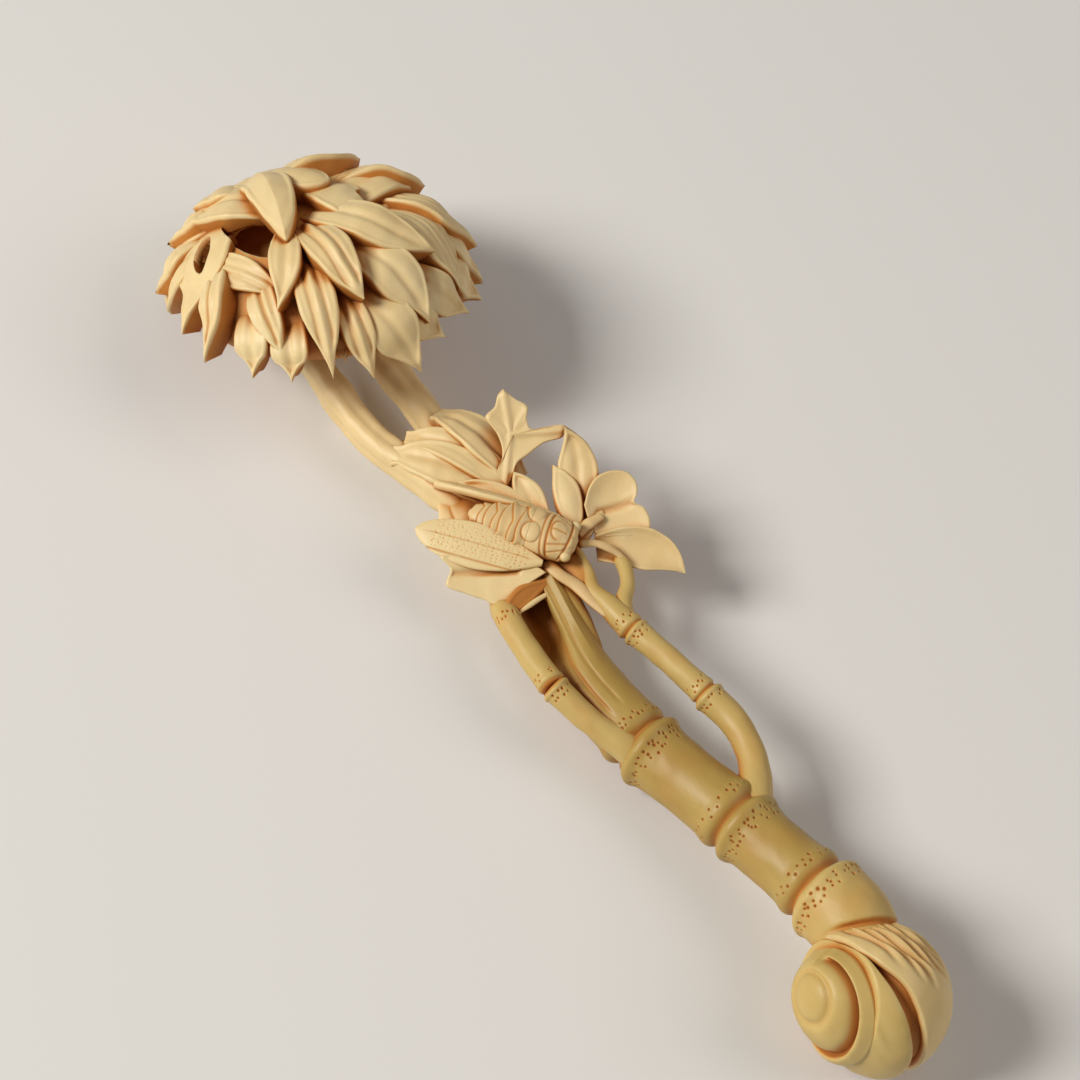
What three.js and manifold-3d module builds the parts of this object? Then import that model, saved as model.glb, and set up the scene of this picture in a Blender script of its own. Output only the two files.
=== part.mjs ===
// Carved boxwood ruyi scepter: a pierced head of layered bamboo leaves on two stalks, a leaf spray
// with a cicada, two branches beside a split culm, and a jointed culm that ends in a snail knob.
// X runs along the scepter from the head (-X) to the knob (+X), Z is up, lengths are millimetres.
import * as THREE from "three";
import { mergeVertices } from "three/addons/utils/BufferGeometryUtils.js";
import Module from "manifold-3d";

const wasm = await Module();
wasm.setup();

// Fit: every carved parting line between two members is this wide
const SEAT_GAP = 0.3;

// Head: a hollow dome that leans towards its own end, covered with leaves
const HEAD_RADIUS = 20.5;
const HEAD_HEIGHT = 15.8;
const HEAD_WALL = 2.4;
const HEAD_REACH = 57.5;
const HEAD_LEVEL = 13;
const HEAD_LEAN = 23;
const HEAD_ROLL = 4;
const HEAD_RIM_ANGLE = 80;
const HEAD_LEAF_THICK = 2.1;
const HEAD_LEAF_WIDTH = 8;

// Stalks between the head and the leaf spray
const STALK_RADIUS = 2.5;
const STALK_SPREAD = 5;
const STALK_LEVEL = 7.8;
const STALK_ROOT_X = -22;

// Leaf spray and the block that its leaves grow from
const SPRAY_LEAF_THICK = 1.5;
const SPRAY_WIDTH = 15;
const SPRAY_DEPTH = 6;
const SPRAY_LEVEL = 9.6;

// Cicada that sits across the spray
const CICADA_HEAD = [-1.3, 7, 14.6];
const CICADA_TAIL = [-14.4, -2.8, 14.3];
const CICADA_WIDTH = 7;
const CICADA_FLATNESS = 0.72;
const CICADA_EYE_RADIUS = 1.1;
const CICADA_WING_LENGTH = 19;
const CICADA_WING_WIDTH = 6.4;
const CICADA_WING_THICK = 0.9;
const CICADA_LEG_RADIUS = 0.75;

// Jointed culm, from the node below the branches to the knob
const CULM_RADIUS = 5.6;
const CULM_WAIST = 0.86;
const TOP_NODE = [27.7, -1.2, 7.9];
const UPPER_INTERNODE = [17.8, 3.2, 2.3];
const LOWER_INTERNODE = [15.2, 1.5, 2.8];
const SPLIT_WALL = 1.5;
const SPLIT_RADIUS = 0.9 * CULM_RADIUS;
const SPLIT_TAPER = 0.72;
const SPLIT_OPENING = 62;

// Branches
const BRANCH_RADIUS = 2.1;
const TWIG_RADIUS = 1.5;

// Snail knob
const KNOB_RADIUS = 9.7;
const KNOB_OFFSET = [16.8, -3.5, -0.8];
const KNOB_SHEATH = 0.9;
const KNOB_SHEATH_EDGE = -2;
const KNOB_REST_DEPTH = 0.3;
const KNOB_PLEATS = 7;
const KNOB_PLEAT_RADIUS = 0.55;
const SPIRE_RADIUS = 7;
const SPIRE_HEIGHT = 11.2;
const SPIRE_SHOULDER = 0.7 * KNOB_RADIUS;
const SPIRE_SKIRT = 2;
const SPIRE_AXIS = [-0.3, -0.9, 0.31];
const SPIRE_TURNS = 2.25;
const SPIRE_GROOVE_RADIUS = 0.5;

const BOXWOOD = new THREE.Color("#e2bd76");
const ROUGHNESS = 0.5;

const vector = ([x, y, z]) => new THREE.Vector3(x, y, z);
const radians = THREE.MathUtils.degToRad;

// Points of the spine that neighbours share
const topNode = vector(TOP_NODE);
const middleNode = topNode.clone().add(vector(UPPER_INTERNODE));
const lowerNode = middleNode.clone().add(vector(LOWER_INTERNODE));
const knobCentre = lowerNode.clone().add(vector(KNOB_OFFSET));
const headCentre = new THREE.Vector3(-HEAD_REACH, 0.3, HEAD_LEVEL);

// Head frame: the axis out of the crown, one direction towards the knob, one to the right
const headAxis = new THREE.Vector3(0, 0, 1).applyEuler(
  new THREE.Euler(-radians(HEAD_ROLL), -radians(HEAD_LEAN), 0),
);
const headNear = new THREE.Vector3(1, 0, 0);
headNear.addScaledVector(headAxis, -headNear.dot(headAxis)).normalize();
const headRight = headAxis.clone().cross(headNear);

// Signed volume of an indexed geometry, negative when its faces point inwards
function signedVolume(points, faces) {
  let volume = 0;
  const cross = new THREE.Vector3();
  for (let i = 0; i < faces.length; i += 3) {
    cross.crossVectors(points[faces[i + 1]], points[faces[i + 2]]);
    volume += points[faces[i]].dot(cross) / 6;
  }
  return volume;
}

// Closed geometry from points and triangles, with its faces turned outwards
function closed(points, faces) {
  if (signedVolume(points, faces) < 0) {
    faces.reverse();
  }
  const geometry = new THREE.BufferGeometry().setFromPoints(points);
  geometry.setIndex(faces);
  return geometry;
}

// Closed skin over rings of one section; the section's flat outline fills both ends
function skin(rings, section) {
  const count = section.length;
  const points = rings.flat();
  const faces = [];
  for (let ring = 0; ring + 1 < rings.length; ring += 1) {
    for (let side = 0; side < count; side += 1) {
      const here = ring * count + side;
      const next = ring * count + ((side + 1) % count);
      faces.push(here, next, next + count, here, next + count, here + count);
    }
  }
  const last = (rings.length - 1) * count;
  for (const [a, b, c] of THREE.ShapeUtils.triangulateShape(section, [])) {
    faces.push(c, b, a, a + last, b + last, c + last);
  }
  const turn = THREE.ShapeUtils.isClockWise(section) ? -1 : 1;
  return turn < 0 ? closed(points, faces.reverse()) : closed(points, faces);
}

// Flat section of a rod, as a circle that may be squashed in its second direction
function roundSection(sides, squash = 1) {
  return Array.from({ length: sides }, (_, i) => {
    const angle = (2 * Math.PI * i) / sides;
    return new THREE.Vector2(Math.cos(angle), Math.sin(angle) * squash);
  });
}

// Rod along a smooth curve, with a radius for each place on it
function rod(points, radiusAt, { steps = 10, sides = 8, squash = 1, grow = 0, up = [0, 0, 1] } = {}) {
  const curve = new THREE.CatmullRomCurve3(points, false, "centripetal");
  const section = roundSection(sides, 1);
  const hint = vector(up);
  const rings = [];
  for (let step = 0; step <= steps; step += 1) {
    const t = step / steps;
    const along = curve.getTangentAt(t);
    const across = along.clone().cross(hint).normalize();
    const over = across.clone().cross(along);
    const centre = curve.getPointAt(t);
    if (step === 0) {
      centre.addScaledVector(along, -grow);
    }
    if (step === steps) {
      centre.addScaledVector(along, grow);
    }
    const radius = radiusAt(t);
    rings.push(section.map(({ x, y }) => centre.clone()
      .addScaledVector(across, x * (radius + grow))
      .addScaledVector(over, y * (radius * squash + grow))));
  }
  return skin(rings, section);
}

// Blade section: side, and height as a share of the thickness; a ridge along the midrib
const BLADE_SECTION = [
  [-1, 0], [0, 0], [1, 0], [1, 0.45], [0, 1], [-1, 0.45],
].map(([side, height]) => new THREE.Vector2(side, height));
const BLADE_STATIONS = [0, 0.2, 0.42, 0.66, 0.86, 1];

// Width of a leaf along its length, as a share of the widest place
function leafOutline(t, widest = 0.42, root = 0.4, tip = 0.05) {
  if (t < widest) {
    return THREE.MathUtils.lerp(root, 1, Math.sin((Math.PI / 2) * (t / widest)));
  }
  const fade = (t - widest) / (1 - widest);
  return Math.max(tip, Math.cos((Math.PI / 2) * fade ** 1.25));
}

// Leaf blade along a line that gives a point and a normal for each place
function blade(line, { width, thick, grow = 0, outline = leafOutline, bow = 0 }) {
  const step = 0.01;
  const length = line(0).point.distanceTo(line(1).point);
  const reach = grow / length;
  const rings = BLADE_STATIONS.map((station) => {
    const t = -reach + station * (1 + 2 * reach);
    const { point, normal } = line(t);
    const along = line(t + step).point.sub(line(t - step).point).normalize();
    const side = along.clone().cross(normal).normalize();
    const over = side.clone().cross(along);
    const half = (width / 2) * outline(station) + grow;
    return BLADE_SECTION.map(({ x, y }) => {
      const height = y > 0 ? y * thick + grow : -grow;
      const across = x * half;
      return point.clone()
        .addScaledVector(side, across)
        .addScaledVector(over, height - bow * across * across);
    });
  });
  return skin(rings, BLADE_SECTION);
}

// Quadratic curve through three places given as arrays
function through(from, via, to) {
  return (t) => from.map((value, i) => {
    const control = 2 * via[i] - (value + to[i]) / 2;
    return (1 - t) * (1 - t) * value + 2 * t * (1 - t) * control + t * t * to[i];
  });
}

// Point and normal on the head's core: degrees from the crown towards the knob and the right
function onHead([near, right], lift) {
  const polar = radians(Math.hypot(near, right));
  const turn = Math.atan2(right, near);
  const outwards = headNear.clone().multiplyScalar(Math.cos(turn))
    .addScaledVector(headRight, Math.sin(turn));
  const normal = outwards.clone().multiplyScalar(Math.sin(polar) / HEAD_RADIUS)
    .addScaledVector(headAxis, Math.cos(polar) / HEAD_HEIGHT).normalize();
  const point = headCentre.clone()
    .addScaledVector(outwards, HEAD_RADIUS * Math.sin(polar))
    .addScaledVector(headAxis, HEAD_HEIGHT * Math.cos(polar))
    .addScaledVector(normal, lift);
  return { point, normal };
}

// One leaf of the head, seated on the core; its tip rises from it
function headLeaf({ from, via, to, wide, rise = 0 }, grow) {
  const place = through(from, via, to);
  const line = (t) => onHead(place(t), SEAT_GAP + rise * t * t);
  const bow = 1 / (2 * HEAD_RADIUS);
  return blade(line, { width: wide * HEAD_LEAF_WIDTH, thick: HEAD_LEAF_THICK, grow, bow });
}

// Leaf of the spray through three points, facing the given way
function sprayLeaf({ from, via, to, width, face = [0, 0, 1], widest = 0.45, root = 0.35, tip = 0.05 }, grow) {
  const place = through(from, via, to);
  const normal = vector(face).normalize();
  const line = (t) => ({ point: vector(place(t)), normal });
  const outline = (t) => leafOutline(t, widest, root, tip);
  return blade(line, { width, thick: SPRAY_LEAF_THICK, grow, outline });
}

// Manifold solid of a closed geometry, and back again
function solidOf(geometry) {
  const bare = geometry.clone();
  bare.deleteAttribute("normal");
  bare.deleteAttribute("uv");
  const merged = mergeVertices(bare, 1e-4);
  return new wasm.Manifold(new wasm.Mesh({
    numProp: 3,
    vertProperties: new Float32Array(merged.attributes.position.array),
    triVerts: new Uint32Array(merged.index.array),
  }));
}

// Largest connected body of a solid, as a geometry
function largestBody(solid) {
  const { vertProperties, triVerts } = solid.getMesh();
  const owner = Array.from({ length: vertProperties.length / 3 }, (_, i) => i);
  const root = (i) => {
    while (owner[i] !== i) {
      owner[i] = owner[owner[i]];
      i = owner[i];
    }
    return i;
  };
  for (let i = 0; i < triVerts.length; i += 3) {
    owner[root(triVerts[i + 1])] = root(triVerts[i]);
    owner[root(triVerts[i + 2])] = root(triVerts[i]);
  }
  const bodies = new Map();
  triVerts.forEach((vertex) => {
    const body = root(vertex);
    bodies.set(body, [...(bodies.get(body) ?? []), vertex]);
  });
  const faces = [...bodies.values()].sort((a, b) => b.length - a.length)[0];
  const geometry = new THREE.BufferGeometry();
  geometry.setAttribute("position", new THREE.BufferAttribute(vertProperties, 3));
  geometry.setIndex(faces);
  return geometry;
}

// Join several closed geometries into one
function joined(geometries) {
  return largestBody(geometries.map(solidOf).reduce((whole, part) => whole.add(part)));
}

// Cut closed geometries out of another
function carved(geometry, cutters) {
  return largestBody(cutters.map(solidOf).reduce((whole, part) => whole.subtract(part), solidOf(geometry)));
}

// Radius of a bamboo internode: a rounded lip beside each groove and a waist between
function internodeRadius(radius, length) {
  return (t) => {
    const fromEnd = Math.min(t, 1 - t) * length;
    const waist = THREE.MathUtils.lerp(1, CULM_WAIST, Math.sin(Math.PI * t) ** 0.7);
    const groove = 0.18 * Math.exp(-fromEnd / (0.09 * radius));
    const lip = 0.07 * Math.exp(-(((fromEnd - 0.22 * radius) / (0.2 * radius)) ** 2));
    return radius * (waist - groove + lip);
  };
}

// Internode between two points of a bamboo axis
function internode(points, radius, { steps = 10, sides = 12, grow = 0 } = {}) {
  const length = points[0].distanceTo(points[points.length - 1]);
  return rod(points, internodeRadius(radius, length), { steps, sides, grow });
}

// Path from one point to another with sideways and upward bows at shares of its length
function bowed(from, to, bows) {
  const along = to.clone().sub(from);
  const inner = bows.map(([share, sideways, upwards]) => from.clone()
    .addScaledVector(along, share)
    .add(new THREE.Vector3(0, sideways, upwards)));
  return [from, ...inner, to];
}

// Culm axis: nearly straight between its nodes
const collarEnd = lowerNode.clone().lerp(knobCentre, 0.55).add(new THREE.Vector3(0.6, 1, 0.8));
const culmUpper = (grow) => internode([topNode, middleNode], CULM_RADIUS, { grow });
const culmLower = (grow) => internode([middleNode, lowerNode], CULM_RADIUS, { grow });

// Collar: the last internode swells into the neck of the knob
function culmCollar(grow) {
  const neck = (t) => CULM_RADIUS * (1 - 0.16 * Math.exp(-t * 22) + 0.18 * t * t);
  const bend = lowerNode.clone().lerp(collarEnd, 0.5).add(new THREE.Vector3(0.3, 0.3, 0.8));
  return rod([lowerNode, bend, collarEnd], neck, { steps: 8, sides: 12, grow });
}

// Split culm: an open trough that carries on from the top node to the spray
function splitCulm(grow) {
  const outer = SPLIT_RADIUS + grow;
  const inner = SPLIT_RADIUS - SPLIT_WALL - grow;
  const opening = radians(SPLIT_OPENING) - (1.4 * grow) / inner;
  const arc = (radius, turn) => Array.from({ length: 9 }, (_, i) => {
    const share = turn > 0 ? i / 8 : 1 - i / 8;
    const angle = Math.PI / 2 + opening + share * (2 * Math.PI - 2 * opening);
    return new THREE.Vector2(radius * Math.cos(angle), radius * Math.sin(angle));
  });
  const section = [...arc(outer, 1), ...arc(inner, -1)];
  const far = new THREE.Vector3(1.2, 1.8, SPRAY_LEVEL - 0.6);
  const near = topNode.clone().add(new THREE.Vector3(-SEAT_GAP, 0, 0));
  const curve = new THREE.CatmullRomCurve3(bowed(near, far, [[0.5, -1.5, -0.4]]));
  const steps = 10;
  const rings = Array.from({ length: steps + 1 }, (_, step) => {
    const t = step / steps;
    const along = curve.getTangentAt(t);
    const over = new THREE.Vector3(0, -0.7, 0.8).normalize();
    const across = along.clone().cross(over).normalize();
    const slim = THREE.MathUtils.lerp(1, SPLIT_TAPER, t);
    const end = step === 0 ? -grow : step === steps ? grow : 0;
    const centre = curve.getPointAt(t).addScaledVector(along, end);
    return section.map(({ x, y }) => centre.clone()
      .addScaledVector(across, x * slim)
      .addScaledVector(over, y * slim));
  });
  return skin(rings, section);
}

// Left branch, in two internodes, from the spray down to the top node
const leftBranchTop = new THREE.Vector3(-2.5, -6.2, SPRAY_LEVEL + 1.2);
const leftBranchNode = new THREE.Vector3(15, -8.7, SPRAY_LEVEL + 2.2);
const leftBranchFoot = topNode.clone()
  .add(new THREE.Vector3(-1.2, -0.72 * CULM_RADIUS, 0.42 * CULM_RADIUS));
const leftBranchUpper = (grow) => internode(
  bowed(leftBranchTop, leftBranchNode, [[0.28, -1.6, 0.5], [0.6, -0.9, 0.2]]),
  BRANCH_RADIUS, { sides: 8, grow });
const leftBranchLower = (grow) => internode(
  bowed(leftBranchNode, leftBranchFoot, [[0.5, -0.4, 0.2]]), BRANCH_RADIUS, { sides: 8, grow });

// Right branch, in three internodes, from the spray round to the middle node
const rightBranchTop = new THREE.Vector3(0.5, 6.2, SPRAY_LEVEL + 2.2);
const rightBranchNode = new THREE.Vector3(13.6, 6.7, SPRAY_LEVEL + 3.2);
const rightBranchKnee = new THREE.Vector3(27.5, 9.4, SPRAY_LEVEL + 3.2);
const rightBranchFoot = middleNode.clone()
  .add(new THREE.Vector3(-2.4, 0.5 * CULM_RADIUS, 0.4 * CULM_RADIUS));
const rightBranchUpper = (grow) => internode(
  bowed(rightBranchTop, rightBranchNode, [[0.45, 0.7, 0.3]]), BRANCH_RADIUS, { sides: 8, grow });
const rightBranchMiddle = (grow) => internode(
  bowed(rightBranchNode, rightBranchKnee, [[0.5, 0, 0.3]]), BRANCH_RADIUS, { sides: 8, grow });
const rightBranchLower = (grow) => internode(
  bowed(rightBranchKnee, rightBranchFoot, [[0.35, 2.8, 0.3], [0.72, 2.9, 0.1]]),
  1.2 * BRANCH_RADIUS, { sides: 8, grow });
const rightTwig = (grow) => rod([
  rightBranchNode.clone().add(new THREE.Vector3(-2.8, 1.6, 0)),
  new THREE.Vector3(8, 10.4, SPRAY_LEVEL + 3.2),
  new THREE.Vector3(1.6, 12, SPRAY_LEVEL + 2.6),
], () => TWIG_RADIUS, { steps: 8, grow });

// Snail knob: a spire with a spiral groove, a round body and a pleated sheath over its far half,
// with a small flat below that it rests on
const spireAxis = vector(SPIRE_AXIS).normalize();
const spireTurn = new THREE.Quaternion().setFromUnitVectors(new THREE.Vector3(0, 1, 0), spireAxis);

function onSpire(geometry) {
  return geometry.applyQuaternion(spireTurn).translate(knobCentre.x, knobCentre.y, knobCentre.z);
}

// Closed body from a revolved outline that starts and ends on the axis, or returns to its start
function revolved(outline, segments) {
  const lathe = new THREE.LatheGeometry(outline.map(([x, y]) => new THREE.Vector2(x, y)), segments);
  lathe.deleteAttribute("normal");
  lathe.deleteAttribute("uv");
  const merged = mergeVertices(lathe, 1e-4);
  const place = merged.attributes.position;
  const points = [];
  for (let i = 0; i < place.count; i += 1) {
    points.push(new THREE.Vector3().fromBufferAttribute(place, i));
  }
  const faces = [];
  for (let i = 0; i < merged.index.count; i += 3) {
    const [a, b, c] = [0, 1, 2].map((corner) => merged.index.getX(i + corner));
    if (a !== b && b !== c && c !== a) {
      faces.push(a, b, c);
    }
  }
  return closed(points, faces);
}

function spireRadius(height) {
  const share = (height - SPIRE_SHOULDER) / (SPIRE_HEIGHT - SPIRE_SHOULDER);
  return SPIRE_RADIUS * Math.sqrt(Math.max(0, 1 - share));
}

function knobSpire(grow) {
  const foot = SPIRE_SHOULDER - SPIRE_SKIRT - grow;
  const outline = [[0, foot], [SPIRE_RADIUS + grow, foot]];
  for (let step = 0; step <= 5; step += 1) {
    const height = THREE.MathUtils.lerp(SPIRE_SHOULDER, SPIRE_HEIGHT, step / 5);
    outline.push([step === 5 ? 0 : spireRadius(height) + grow, height + grow]);
  }
  const boss = onSpire(revolved(outline, 18));
  if (grow > 0) {
    return boss;
  }
  const steps = 24;
  const groove = Array.from({ length: steps + 1 }, (_, i) => {
    const t = i / steps;
    const height = THREE.MathUtils.lerp(SPIRE_SHOULDER + 0.5, SPIRE_HEIGHT - 0.12, t);
    const angle = 2 * Math.PI * SPIRE_TURNS * t;
    const radius = spireRadius(height);
    return new THREE.Vector3(radius * Math.cos(angle), height, radius * Math.sin(angle));
  });
  const cutter = rod(groove, () => SPIRE_GROOVE_RADIUS, { steps, sides: 4, up: [0, 1, 0] });
  return carved(boss, [onSpire(cutter)]);
}

function knobSheath(grow) {
  const inner = KNOB_RADIUS + SEAT_GAP - grow;
  const outer = KNOB_RADIUS + SEAT_GAP + KNOB_SHEATH + grow;
  const edge = Math.asin((KNOB_SHEATH_EDGE - grow) / KNOB_RADIUS);
  const arc = (radius, turn) => Array.from({ length: 6 }, (_, i) => {
    const share = turn > 0 ? i / 5 : 1 - i / 5;
    const angle = THREE.MathUtils.lerp(Math.PI / 2, edge, share);
    return [share === 0 ? 0 : radius * Math.cos(angle), radius * Math.sin(angle)];
  });
  const shell = revolved([...arc(inner, 1), ...arc(outer, -1)], 20);
  shell.translate(knobCentre.x, knobCentre.y, knobCentre.z);
  if (grow > 0) {
    return shell;
  }
  const towardsNeck = lowerNode.clone().sub(knobCentre);
  const neckAngle = Math.atan2(towardsNeck.z, towardsNeck.x);
  const pleats = Array.from({ length: KNOB_PLEATS }, (_, i) => {
    const latitude = radians(8 + 9 * i);
    const path = [0.5, 0.8, 1.1, 1.4].map((turn) => new THREE.Vector3(
      Math.cos(latitude) * Math.cos(neckAngle - turn),
      Math.sin(latitude),
      Math.cos(latitude) * Math.sin(neckAngle - turn),
    ).multiplyScalar(outer + 0.15).add(knobCentre));
    return rod(path, (t) => KNOB_PLEAT_RADIUS * (1 - 0.7 * t), { steps: 3, sides: 4, up: [0, 1, 0] });
  });
  const rest = new THREE.BoxGeometry(2 * outer, 2 * outer, 2 * outer);
  rest.translate(knobCentre.x, knobCentre.y, knobCentre.z - 2 * outer + KNOB_REST_DEPTH);
  return carved(shell, [...pleats, rest]);
}

function knobBody(grow) {
  const sphere = new THREE.SphereGeometry(KNOB_RADIUS + grow, 18, 11);
  return sphere.translate(knobCentre.x, knobCentre.y, knobCentre.z);
}

// Cicada: frame along its body, across it and up from the spray
const cicadaHead = vector(CICADA_HEAD);
const cicadaTail = vector(CICADA_TAIL);
const cicadaAlong = cicadaTail.clone().sub(cicadaHead).normalize();
const cicadaAcross = new THREE.Vector3(0, 0, 1).cross(cicadaAlong).normalize();
const cicadaUp = cicadaAlong.clone().cross(cicadaAcross);
const cicadaLength = cicadaHead.distanceTo(cicadaTail);

function onCicada(back, side, up) {
  return cicadaHead.clone().addScaledVector(cicadaAlong, back)
    .addScaledVector(cicadaAcross, side).addScaledVector(cicadaUp, up);
}

// Part of the cicada's body between two distances from its front
function cicadaPart(from, to, radiusAt, grow, steps) {
  const path = [onCicada(from, 0, 0), onCicada((from + to) / 2, 0, 0.3), onCicada(to, 0, 0)];
  const radius = (t) => (CICADA_WIDTH / 2) * radiusAt(t);
  return rod(path, radius, { steps, sides: 10, squash: CICADA_FLATNESS, grow });
}

function cicadaHeadPart(grow) {
  const face = cicadaPart(0, 2.2, (t) => 0.55 + 0.42 * Math.sin((Math.PI / 2) * t), grow, 4);
  const eyes = [-1, 1].map((side) => {
    const centre = onCicada(0.9, side * 0.42 * CICADA_WIDTH, 0.7);
    return new THREE.SphereGeometry(CICADA_EYE_RADIUS + grow, 8, 5).translate(centre.x, centre.y, centre.z);
  });
  return joined([face, ...eyes]);
}

const cicadaThorax = (grow) => cicadaPart(2.2, 7.2, (t) => 0.97 + 0.1 * Math.sin(Math.PI * t), grow, 6);

// Abdomen: five rings that taper towards the tail
const abdomenRadius = (t) => (0.98 - 0.72 * t * t) * (1 - 0.05 * Math.abs(Math.sin(5 * Math.PI * t)));
const cicadaAbdomen = (grow) => cicadaPart(7.2, cicadaLength, abdomenRadius, grow, 10);

// Wing: a long blade that leans on the body like one side of a roof
function cicadaWing({ side, spread, lean }, grow) {
  const out = side * spread * CICADA_WIDTH;
  const root = onCicada(3.8, out, -0.6);
  const middle = onCicada(3.8 + 0.5 * CICADA_WING_LENGTH, 1.12 * out, -0.7);
  const tip = onCicada(3.8 + CICADA_WING_LENGTH, 1.04 * out, -1.6);
  const place = through(root.toArray(), middle.toArray(), tip.toArray());
  const normal = cicadaUp.clone().addScaledVector(cicadaAcross, side * lean).normalize();
  const line = (t) => ({ point: vector(place(t)), normal });
  const outline = (t) => leafOutline(t, 0.55, 0.3, 0.1);
  return blade(line, { width: CICADA_WING_WIDTH, thick: CICADA_WING_THICK, grow, outline });
}

const cicadaLeg = (points) => (grow) => rod(
  points.map(([back, side, up]) => onCicada(back, side, up)),
  (t) => CICADA_LEG_RADIUS * (1 - 0.45 * t), { steps: 6, grow });

// Block of the spray, under its leaves
function sprayCore(grow) {
  const half = SPRAY_WIDTH / 2;
  const path = [
    new THREE.Vector3(2.2, 1, SPRAY_LEVEL),
    new THREE.Vector3(-4, 0.6, SPRAY_LEVEL + 0.4),
    new THREE.Vector3(-14, 0.4, SPRAY_LEVEL - 0.2),
    new THREE.Vector3(STALK_ROOT_X - 3, 0.6, STALK_LEVEL + 0.4),
  ];
  const girth = (t) => half * (0.72 + 0.38 * Math.sin(Math.PI * Math.min(1, t * 1.25)) - 0.14 * t);
  return rod(path, girth, { steps: 7, sides: 10, squash: SPRAY_DEPTH / SPRAY_WIDTH, grow });
}

// Stalks: from the end of the spray under the head's rim and up to the inside of its dome
function stalk(side, grow) {
  const top = onHead([side > 0 ? 16 : 20, side * 16], -0.6 * HEAD_WALL).point;
  const rootX = STALK_ROOT_X - 2;
  const rootSide = (side > 0 ? 0.6 : -0.35) * STALK_SPREAD;
  const root = new THREE.Vector3(rootX, rootSide, STALK_LEVEL + 1);
  const reach = HEAD_REACH + rootX;
  const spread = side * STALK_SPREAD;
  const points = [
    root,
    new THREE.Vector3(rootX - 0.3 * reach, spread * 0.95, STALK_LEVEL),
    new THREE.Vector3(rootX - 0.62 * reach, spread, STALK_LEVEL + 0.2),
    new THREE.Vector3(rootX - 0.95 * reach, spread * 0.95, STALK_LEVEL + 3.6),
    top,
  ];
  const taper = (t) => STALK_RADIUS * (1.06 - 0.1 * t);
  return rod(points, taper, { steps: 11, sides: 8, grow, up: [0, 1, 0] });
}

// Core of the head: a thin pierced dome
function headCore(grow) {
  const arc = (inset, turn) => Array.from({ length: 8 }, (_, i) => {
    const share = turn > 0 ? i / 7 : 1 - i / 7;
    const polar = radians(HEAD_RIM_ANGLE * share);
    const radius = (HEAD_RADIUS - inset) * Math.sin(polar);
    return [share === 0 ? 0 : radius, (HEAD_HEIGHT - inset) * Math.cos(polar)];
  });
  const outline = [...arc(HEAD_WALL + grow, 1), ...arc(-grow, -1)];
  const shell = revolved(outline, 24);
  const turn = new THREE.Matrix4().makeBasis(headNear, headAxis, headNear.clone().cross(headAxis));
  shell.applyMatrix4(turn.setPosition(headCentre));
  if (grow > 0) {
    return shell;
  }
  return carved(shell, HEAD_PIERCINGS.map(piercing));
}

// Pierced openings of the head: ends and width, in the head's degrees and in millimetres
const HEAD_PIERCINGS = [
  { from: [-14, -45], via: [-3, -39], to: [11, -29], width: 6.4 },
  { from: [-15, -38], via: [-11, -46], to: [-8, -54], width: 2.4 },
  { from: [15, 9], via: [20, 11], to: [25, 13], width: 2 },
];

function piercing({ from, via, to, width }) {
  const place = through(from, via, to);
  const line = (t) => onHead(place(t), -2 * HEAD_WALL);
  const oval = (t) => 0.35 + 0.65 * Math.sin(Math.PI * t);
  return blade(line, { width, thick: 4 * HEAD_WALL, outline: oval });
}

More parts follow.
